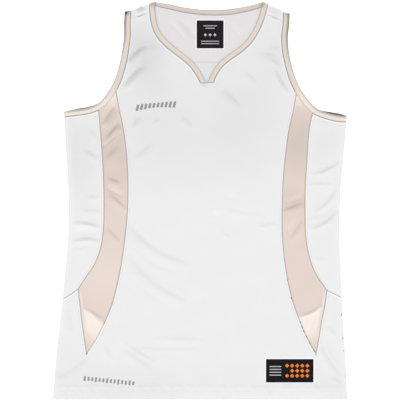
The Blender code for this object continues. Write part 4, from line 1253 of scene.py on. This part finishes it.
def stitch_points(line, stitch, surface, lift=0.0):
    """Short rounded threads along a line, each a ring of points carried along its length.

    Ring k of a thread at t from -1 to 1 has the radius (1 - t^4 / THREAD_ENDS) in shares of width and
    height.
    """
    at = along(line)
    count = max(1, int(at[-1] / stitch.pitch))
    middles = (np.arange(count) + 0.5) * at[-1] / count
    t = np.linspace(-1, 1, STATIONS)
    places = np.clip(middles[:, None] + t * stitch.length / 2, 0, at[-1]).ravel()
    both = np.hstack([line, np.gradient(line, at, axis=0)]).T
    x, y, *way = (np.interp(places, at, values) for values in both)
    plan, normal = np.column_stack([x, y]), leftward(np.column_stack(way))
    radius = np.tile(1 - t**4 / THREAD_ENDS, count)[:, None]
    angle = np.linspace(0, 2 * np.pi, RING, endpoint=False)
    sideways, up = radius * np.cos(angle) * stitch.width / 2, radius * np.sin(angle) * stitch.height / 2
    ring_plan = plan[:, None] + normal[:, None] * sideways[..., None]
    level = (surface(plan) + lift)[:, None] + up
    return np.concatenate([ring_plan, level[..., None]], axis=2).reshape(count, STATIONS * RING, 3)


def add_stitching(name, material, slot, rows):
    """One mesh of all the threads of several rows: a line, a stitch, a surface and how far up they lie."""
    points = np.concatenate([stitch_points(*row) for row in rows])
    first = np.arange(len(points))[:, None, None] * STATIONS * RING
    sides = first + grid_faces(STATIONS - 1, RING, RING)
    ends = first + np.array([np.arange(RING), STATIONS * RING - 1 - np.arange(RING)])
    faces = sides.reshape(-1, 4).tolist() + ends.reshape(-1, RING).tolist()
    add_piece(name, points.reshape(-1, 3), faces, material, slot)


def flat_at(level):
    """A surface at one level."""
    return lambda points: np.full(len(points), level)


def band_top(points):
    """The front bands' upper face, on which the threads lie a little sunk."""
    return BAND_TOP - BAND_SINK + rise(points)


def make_stitching():
    """Rows of threads, each beside a seam or along the hem, and the single ones."""
    seams, bands, satin, hem = [], [], [], []
    for side, out in SIDES.items():
        inner, *rest = CLOTH_SEAMS[side]
        if side == "left":
            inner = trimmed(inner, above(FADES_BELOW))
        seams += [(line, SEAM_STITCH, front_height, SEAM_LIFT) for line in (inner, *rest)]
        neck = trimmed(NECK[side][1], above(NECK_POINT + NECK_END))
        bands += [(beside(neck, -out * BAND_INSET), FINE_STITCH, band_top)]
        bands += [(beside(ARM[side][1], out * BAND_INSET), FINE_STITCH, band_top)]
        for key, way, ends in SATIN_ROWS:
            line = beside(SEAMS[side][key], way * out * SATIN_INSET)[slice(*ends)]
            satin.append((line, FINE_STITCH, front_height))
    back_band = beside(BACK_NECK[1], BACK_BAND_INSET)
    bands.append((back_band, FINE_STITCH, flat_at(BAND.thickness - BAND_SINK)))
    for row in HEM_ROWS:
        left, right = (side_x(side, row)[0] - SIDES[side] * HEM_END for side in SIDES)
        x = np.linspace(left, right, HEM_COUNT)
        line = np.column_stack([x, hem_row(x, row)])
        hem += [(line, HEM_STITCH, front_height, HEM_LIFT), (line, HEM_STITCH, flat_at(HEM_INSIDE))]
    hem.append((beside(BACK_NECK[1], -BACK_NECK_ROW), FINE_STITCH, inside_height))
    shoulders = [(line, COVER_STITCH, front_height) for line in SHOULDER_SEAMS]
    bars = [
        (divided([(start, y), (end, y)], BAR_COUNT), BAR_STITCH, front_height, BAR_LIFT)
        for start, end, y in BARS
    ]
    marks = []
    for way, wide, high, several in MARKS:
        for x, y, long in several:
            line = np.add((x, y), np.outer((-long / 2, long / 2), way))
            marks.append((line, Stitch(long, long, wide, high), front_height, MARK_LIFT))
    add_stitching("seam_stitches", "seam_thread", "champagne_rib", seams)
    add_stitching("band_stitches", "band_thread", "champagne_rib", bands)
    add_stitching("insert_stitches", "band_thread", "champagne_satin", satin)
    add_stitching("hem_stitches", "knit_thread", "white_knit", hem)
    add_stitching("shoulder_stitches", "cover_thread", "white_knit", shoulders)
    add_stitching("bar_stitches", "band_thread", "champagne_rib", bars)
    add_stitching("dark_stitches", "mark_thread", "champagne_rib", marks)


# ---------------------------------------------------------------- materials


def node(tree, kind, inputs=(), **settings):
    """A node with its settings made, and its inputs set or linked: a value or an output by socket."""
    made = tree.nodes.new("ShaderNode" + kind)
    for key, value in settings.items():
        setattr(made, key, value)
    for socket, value in dict(inputs).items():
        if isinstance(value, bpy.types.NodeSocket):
            tree.links.new(value, made.inputs[socket])
        else:
            made.inputs[socket].default_value = value
    return made


def maths(tree, operation, *values):
    """A sum, product or other operation on values."""
    return node(tree, "Math", enumerate(values), operation=operation).outputs[0]


def mapped(tree, *value_from_to):
    """A smooth step of a value from one range to another."""
    return node(tree, "MapRange", enumerate(value_from_to), interpolation_type="SMOOTHSTEP").outputs[0]


def scaled(tree, vector, share):
    """A colour or vector times a share."""
    return node(tree, "VectorMath", {0: vector, "Scale": share}, operation="SCALE").outputs[0]


def mixed(tree, share, colour, other):
    """A colour with a share of another."""
    return node(tree, "Mix", {0: share, 6: colour, 7: (*other, 1)}, data_type="RGBA").outputs[2]


def waves(tree, cloth, pitch, way):
    """The sine of the turns of a pitch along a way over the cloth."""
    along_way = node(tree, "VectorMath", {0: cloth, 1: way}, operation="DOT_PRODUCT").outputs["Value"]
    turns = maths(tree, "DIVIDE", 2 * np.pi, pitch)
    return maths(tree, "SINE", maths(tree, "MULTIPLY", along_way, turns))


def knit_face(tree, cloth, pitch):
    """Fine sports knit: the height is the sine of the columns times the sine of the rows."""
    ways = (1, 0, 0), (0, 1, 0)
    return {"Height": maths(tree, "MULTIPLY", *[waves(tree, cloth, pitch, way) for way in ways])}


def rib_face(tree, cloth, pitch, turn):
    """Lines along or across the cloth: height = sin(2 pi p / pitch)."""
    return {"Height": waves(tree, cloth, pitch, turn)}


def cloth_mottle(tree, cloth, size, amount):
    """Slow, faint changes of tone, as on any washed cloth: noise around 0."""
    noise = node(tree, "TexNoise", {"Vector": cloth, "Scale": size, "Detail": 3.0}).outputs[0]
    return {"Tone": maths(tree, "MULTIPLY", maths(tree, "SUBTRACT", noise, 0.5), amount)}


def seam_lines(tree, far, line, light_from, light_to):
    """From the distance to a seam in millimetres: a painted shade line in the ditch, a painted highlight
    beside it.
    """
    rising = mapped(tree, far, line, light_from, 0.0, 1.0)
    falling = mapped(tree, far, light_from, light_to, 1.0, 0.0)
    return {"Dark": mapped(tree, far, 0.0, line, 1.0, 0.0), "Light": maths(tree, "MULTIPLY", rising, falling)}


# Shader node groups: what builds each one, and its inputs with their defaults
GROUPS = {
    knit_face: {"Cloth": (0, 0, 0), "Pitch": 0.0016},
    rib_face: {"Cloth": (0, 0, 0), "Pitch": 0.001, "Turn": (1, 0, 0)},
    cloth_mottle: {"Cloth": (0, 0, 0), "Size": 18.0, "Amount": 0.02},
    seam_lines: {"Distance": 12.0, "Line": 1.5, "Light From": 1.9, "Light To": 4.5},
}


def place(tree, build, **inputs):
    """Places a shader node group, which is made on first use, and returns its outputs."""
    name, defaults = build.__name__, GROUPS[build]
    if name not in bpy.data.node_groups:
        group = bpy.data.node_groups.new(name, "ShaderNodeTree")
        for label, default in defaults.items():
            kind = "NodeSocketFloat" if isinstance(default, float) else "NodeSocketVector"
            group.interface.new_socket(label, in_out="INPUT", socket_type=kind).default_value = default
        start = group.nodes.new("NodeGroupInput").outputs
        made = build(group, *[start[label] for label in defaults])
        for label in made:
            group.interface.new_socket(label, in_out="OUTPUT", socket_type="NodeSocketFloat")
        end = group.nodes.new("NodeGroupOutput").inputs
        for label, value in made.items():
            group.links.new(value, end[label])
    return node(tree, "Group", inputs, node_tree=bpy.data.node_groups[name]).outputs


PALE_SHINE = (0.93, 0.88, 0.85)  # what shiny cloth turns to where painted sheen makes it lightest
FINE_RELIEF, GRAIN_RELIEF = 0.0002, 0.0001  # depths of bumps, in metres
CLOTH_SPECULAR, PLAIN_SPECULAR = 0.25, 0.15
GRAIN_SIZE, GRAIN_RANGE, GRAIN_ROUGH, GRAIN_BUMP = 900.0, (0.2, 0.8), 0.05, 0.15
# roughness, sheen; strength, pitch and way of the face, of which a knit has none; mottling; darkness and
# width of the painted seam shade, painted light beside it (darker seam allowance on satin); how pale painted
# light turns it
Cloth = namedtuple("Cloth", "roughness sheen bump pitch turn mottle dark line light pale")
CLOTHS = {
    "knit": Cloth(0.8, 0.1, 0.35, 0.0016, None, 0.02, 0.75, 1.5, 0.09, 0),
    "knit_inside": Cloth(0.85, 0.05, 0.3, 0.0016, None, 0.02, 0.6, 1.5, 0.03, 0),
    "satin": Cloth(0.42, 0.15, 0.25, 0.0009, (0.8, 0.6, 0), 0.03, 0.85, 1.9, -0.08, 1.6),
    "band": Cloth(0.6, 0.15, 0.35, 0.0012, (1, 0, 0), 0.03, 0.72, 1.8, 0.0, 0.6),
}
PLAINS = {  # prints, patches and threads: roughness, grain
    "patch_black": (0.45, 0.02), "patch_orange": (0.5, 0.02), "patch_pale": (0.5, 0.02),
    "patch_border": (0.6, 0.005), "print_grey": (0.6, 0.02), "seam_thread": (0.7, 0.02),
    "band_thread": (0.6, 0.02), "knit_thread": (0.7, 0.02), "cover_thread": (0.8, 0.01),
    "mark_thread": (0.7, 0.02),
}  # fmt: skip


def new_material(name, **values):
    """A material with values on its shader's own sockets: its tree and the shader's inputs."""
    material = bpy.data.materials.new(name)
    material.use_nodes = True
    shader = material.node_tree.nodes["Principled BSDF"].inputs
    for key, value in values.items():
        shader[key.replace("_", " ")].default_value = value
    return material.node_tree, shader


def finish(tree, shader, colour, height, strength, depth):
    """Links a colour and a relief to the shader."""
    bump = node(tree, "Bump", {"Height": height, "Strength": strength, "Distance": depth})
    tree.links.new(colour, shader["Base Color"])
    tree.links.new(bump.outputs["Normal"], shader["Normal"])


def cloth_material(name, colour, line_colour, look):
    """Cloth: colour with tone, painted shading, painted seam lines and mottling, and its face's fine relief.
    """
    tree, shader = new_material(
        name, Roughness=look.roughness, Sheen_Weight=look.sheen, Specular_IOR_Level=CLOTH_SPECULAR
    )
    cloth = node(tree, "UVMap", uv_map="cloth").outputs["UV"]
    mottle = place(tree, cloth_mottle, Cloth=cloth, Amount=look.mottle)["Tone"]
    # tone: the cloth's own tone with painted shade and light of folds and creases
    tone, far = (node(tree, "Attribute", attribute_name=key).outputs["Fac"] for key in ("tone", "edge"))
    lines = place(tree, seam_lines, Distance=far, Line=look.line)
    # painted highlight beside the seams; the satin's is below 0, its seam allowance showing through darker
    light = maths(tree, "MULTIPLY", lines["Light"], look.light)
    level = maths(tree, "ADD", maths(tree, "ADD", mottle, tone), maths(tree, "ADD", light, 1.0))
    base = scaled(tree, colour, level)
    if look.pale:
        pale = maths(tree, "MULTIPLY", maths(tree, "MAXIMUM", tone, 0.0), look.pale)
        base = mixed(tree, pale, base, PALE_SHINE)
    # painted shade in the seam ditches
    base = mixed(tree, maths(tree, "MULTIPLY", lines["Dark"], look.dark), base, line_colour)
    way = {"Turn": look.turn} if look.turn else {}
    face = place(tree, rib_face if way else knit_face, Cloth=cloth, Pitch=look.pitch, **way)
    finish(tree, shader, base, face["Height"], look.bump, FINE_RELIEF)


def plain_material(name, colour, roughness, grain, **values):
    """A print, patch or thread: one colour with a faint grain in tone and roughness."""
    tree, shader = new_material(name, Specular_IOR_Level=PLAIN_SPECULAR, **values)
    where = node(tree, "TexCoord").outputs["Object"]
    noise = node(tree, "TexNoise", {"Vector": where, "Scale": GRAIN_SIZE, "Detail": 2.0}).outputs[0]
    base = scaled(tree, colour, mapped(tree, noise, *GRAIN_RANGE, 1 - grain, 1 + grain))
    rough = mapped(tree, noise, *GRAIN_RANGE, roughness - GRAIN_ROUGH, roughness + GRAIN_ROUGH)
    tree.links.new(rough, shader["Roughness"])
    finish(tree, shader, base, noise, GRAIN_BUMP, GRAIN_RELIEF)


def get_material(name):
    """Makes a material on first use, in its colour from the panel's settings."""
    if name not in bpy.data.materials:
        look = bpy.context.scene.jersey_look
        if name in CLOTHS:
            cloth_material(name, getattr(look, name), look.seam_shade, CLOTHS[name])
        else:
            plain_material(name, getattr(look, name), *PLAINS[name])
    return bpy.data.materials[name]


# ---------------------------------------------------------------- settings


def colour(name, description, *default):
    """A colour to set: its red, green and blue."""
    return bpy.props.FloatVectorProperty(
        name=name, description=description, default=default, subtype="COLOR", size=3, min=0, max=1
    )


def number(name, description, default, **limits):
    """A number to set."""
    return bpy.props.FloatProperty(name=name, description=description, default=default, **limits)


class JerseyLook(bpy.types.PropertyGroup):
    """Colours of the jersey, by material."""

    knit: colour("Knit", "Outside of the front and the back", 0.84, 0.84, 0.84)
    knit_inside: colour("Inside", "Inside of the back, seen through the neck", 0.756, 0.739, 0.743)
    satin: colour("Satin", "The pointed inserts", 0.765, 0.66, 0.595)
    band: colour("Bands", "Neck and armhole bands", 0.76, 0.672, 0.603)
    # colour of the painted shade in the seam ditches
    seam_shade: colour("Seam lines", "Cloth deep in the seams", 0.33, 0.30, 0.27)
    patch_black: colour("Patches", "Ground of both patches", 0.006, 0.0045, 0.0075)
    patch_orange: colour("Lozenges", "Orange lozenges of the hem patch", 0.87, 0.22, 0.01)
    patch_pale: colour("Rules", "Pale rules of the patches", 0.55, 0.54, 0.55)
    patch_border: colour("Patch border", "Film that shows round the patches", 0.97, 0.97, 0.97)
    print_grey: colour("Prints", "Grey prints on the chest and above the hem", 0.30, 0.30, 0.31)
    seam_thread: colour("Seam thread", "Thread in the seams", 0.50, 0.47, 0.43)
    band_thread: colour("Band thread", "Thread on bands and inserts", 0.62, 0.53, 0.46)
    knit_thread: colour("Hem thread", "Thread of the hem", 0.78, 0.78, 0.78)
    cover_thread: colour("Shoulder thread", "Thread of the shoulder seams", 0.84, 0.84, 0.84)
    mark_thread: colour("Dark thread", "Single dark stitches", 0.10, 0.09, 0.085)


class JerseyStage(bpy.types.PropertyGroup):
    """Floor, lights and camera."""

    floor: colour("Floor", "The pale floor", 0.98, 0.98, 0.98)
    glow: number("Floor glow", "Light that the floor gives off, as a lit table does", 0.35, min=0)
    ambient: number("Ambient", "Strength of the even light from all round", 0.62, min=0)
    key: number("Key light", "Strength of the soft light beyond the neck", 1.85, min=0)
    height: number("Camera height", "Height of the lens above the floor", 2.087, min=0.5, unit="LENGTH")
    camera_y: number("Camera place", "How far the lens is moved up the jersey", -0.0014, unit="LENGTH")
    focal_length: number("Focal length", "Focal length of the lens in millimetres", 100.0, min=20)


# ---------------------------------------------------------------- stage

FLOOR_HALF, FLOOR_LEVEL = 12.0, -0.0002  # in metres
KEY_ANGLE, KEY_TURN = 38, (-44, 3, 0)  # degrees
SENSOR = 36


def make_stage(stage):
    """A floor, an even light from all round, a soft key light and the camera."""
    scene, s = bpy.context.scene, FLOOR_HALF
    mesh = bpy.data.meshes.new("floor")
    corners = [(x, y, FLOOR_LEVEL) for x, y in ((-s, -s), (s, -s), (s, s), (-s, s))]
    mesh.from_pydata(corners, [], [(0, 1, 2, 3)])
    plain_material(
        "floor", stage.floor, 0.9, 0.0, Emission_Color=(1, 1, 1, 1), Emission_Strength=stage.glow
    )
    mesh.materials.append(bpy.data.materials["floor"])
    link("floor", mesh)

    scene.world = bpy.data.worlds.new("studio")
    scene.world.use_nodes = True
    background = scene.world.node_tree.nodes["Background"].inputs
    background["Color"].default_value = (1, 1, 1, 1)
    background["Strength"].default_value = stage.ambient

    light = bpy.data.lights.new("key", "SUN")
    light.angle, light.energy = np.radians(KEY_ANGLE), stage.key
    link("key", light).rotation_euler = np.radians(KEY_TURN)

    lens = bpy.data.cameras.new("camera")
    lens.lens, lens.sensor_width = stage.focal_length, SENSOR
    scene.camera = link("camera", lens)
    scene.camera.location = (0, stage.camera_y, stage.height)
    scene.view_settings.view_transform = "Standard"


# ---------------------------------------------------------------- operators


class JERSEY_OT_stage(bpy.types.Operator):
    """Floor, lights and camera"""

    bl_idname = "jersey.stage"
    bl_label = "Stage"

    def execute(self, context):
        make_stage(context.scene.jersey_stage)
        return {"FINISHED"}


class JERSEY_OT_back(bpy.types.Operator):
    """The back, folded forward over the shoulders and sides"""

    bl_idname = "jersey.back"
    bl_label = "Back"

    def execute(self, context):
        make_back()
        return {"FINISHED"}


class JERSEY_OT_front(bpy.types.Operator):
    """The centre front with its skirt, and the facing behind the V"""

    bl_idname = "jersey.front"
    bl_label = "Front"

    def execute(self, context):
        make_front()
        make_neck_facing()
        return {"FINISHED"}


class JERSEY_OT_inserts(bpy.types.Operator):
    """The two pointed satin inserts"""

    bl_idname = "jersey.inserts"
    bl_label = "Inserts"

    def execute(self, context):
        for side in SIDES:
            make_insert(side)
        return {"FINISHED"}


class JERSEY_OT_bands(bpy.types.Operator):
    """The folded bands round the neck and the armholes"""

    bl_idname = "jersey.bands"
    bl_label = "Bands"

    def execute(self, context):
        make_neck_band()
        for side in SIDES:
            make_armhole_band(side)
        return {"FINISHED"}


class JERSEY_OT_patches(bpy.types.Operator):
    """The patch at the hem, the one inside the neck, and the two grey prints"""

    bl_idname = "jersey.patches"
    bl_label = "Patches and prints"

    def execute(self, context):
        make_patches()
        make_prints()
        return {"FINISHED"}


class JERSEY_OT_stitching(bpy.types.Operator):
    """The rows of stitches along seams, bands and hem"""

    bl_idname = "jersey.stitching"
    bl_label = "Stitching"

    def execute(self, context):
        make_stitching()
        return {"FINISHED"}


class JERSEY_PT_panel(bpy.types.Panel):
    """Lists the steps and settings"""

    bl_label = "Jersey"
    bl_idname = "JERSEY_PT_panel"
    bl_space_type = "VIEW_3D"
    bl_region_type = "UI"
    bl_category = "Jersey"

    def draw(self, context):
        for step in STEPS:
            self.layout.operator(step.bl_idname)
        for settings in (context.scene.jersey_look, context.scene.jersey_stage):
            for name in settings.__annotations__:
                self.layout.prop(settings, name)


STEPS = (
    JERSEY_OT_stage, JERSEY_OT_back, JERSEY_OT_front, JERSEY_OT_inserts, JERSEY_OT_bands,
    JERSEY_OT_patches, JERSEY_OT_stitching,
)  # fmt: skip
CLASSES = (JerseyLook, JerseyStage, *STEPS, JERSEY_PT_panel)


def register():
    for cls in CLASSES:
        bpy.utils.register_class(cls)
    bpy.types.Scene.jersey_look = bpy.props.PointerProperty(type=JerseyLook)
    bpy.types.Scene.jersey_stage = bpy.props.PointerProperty(type=JerseyStage)


def unregister():
    del bpy.types.Scene.jersey_look
    del bpy.types.Scene.jersey_stage
    for cls in reversed(CLASSES):
        bpy.utils.unregister_class(cls)


def main():
    """Builds the stage and every piece."""
    register()
    bpy.ops.jersey.stage()
    bpy.ops.jersey.back()
    bpy.ops.jersey.front()
    bpy.ops.jersey.inserts()
    bpy.ops.jersey.bands()
    bpy.ops.jersey.patches()
    bpy.ops.jersey.stitching()


if __name__ == "__main__":
    main()
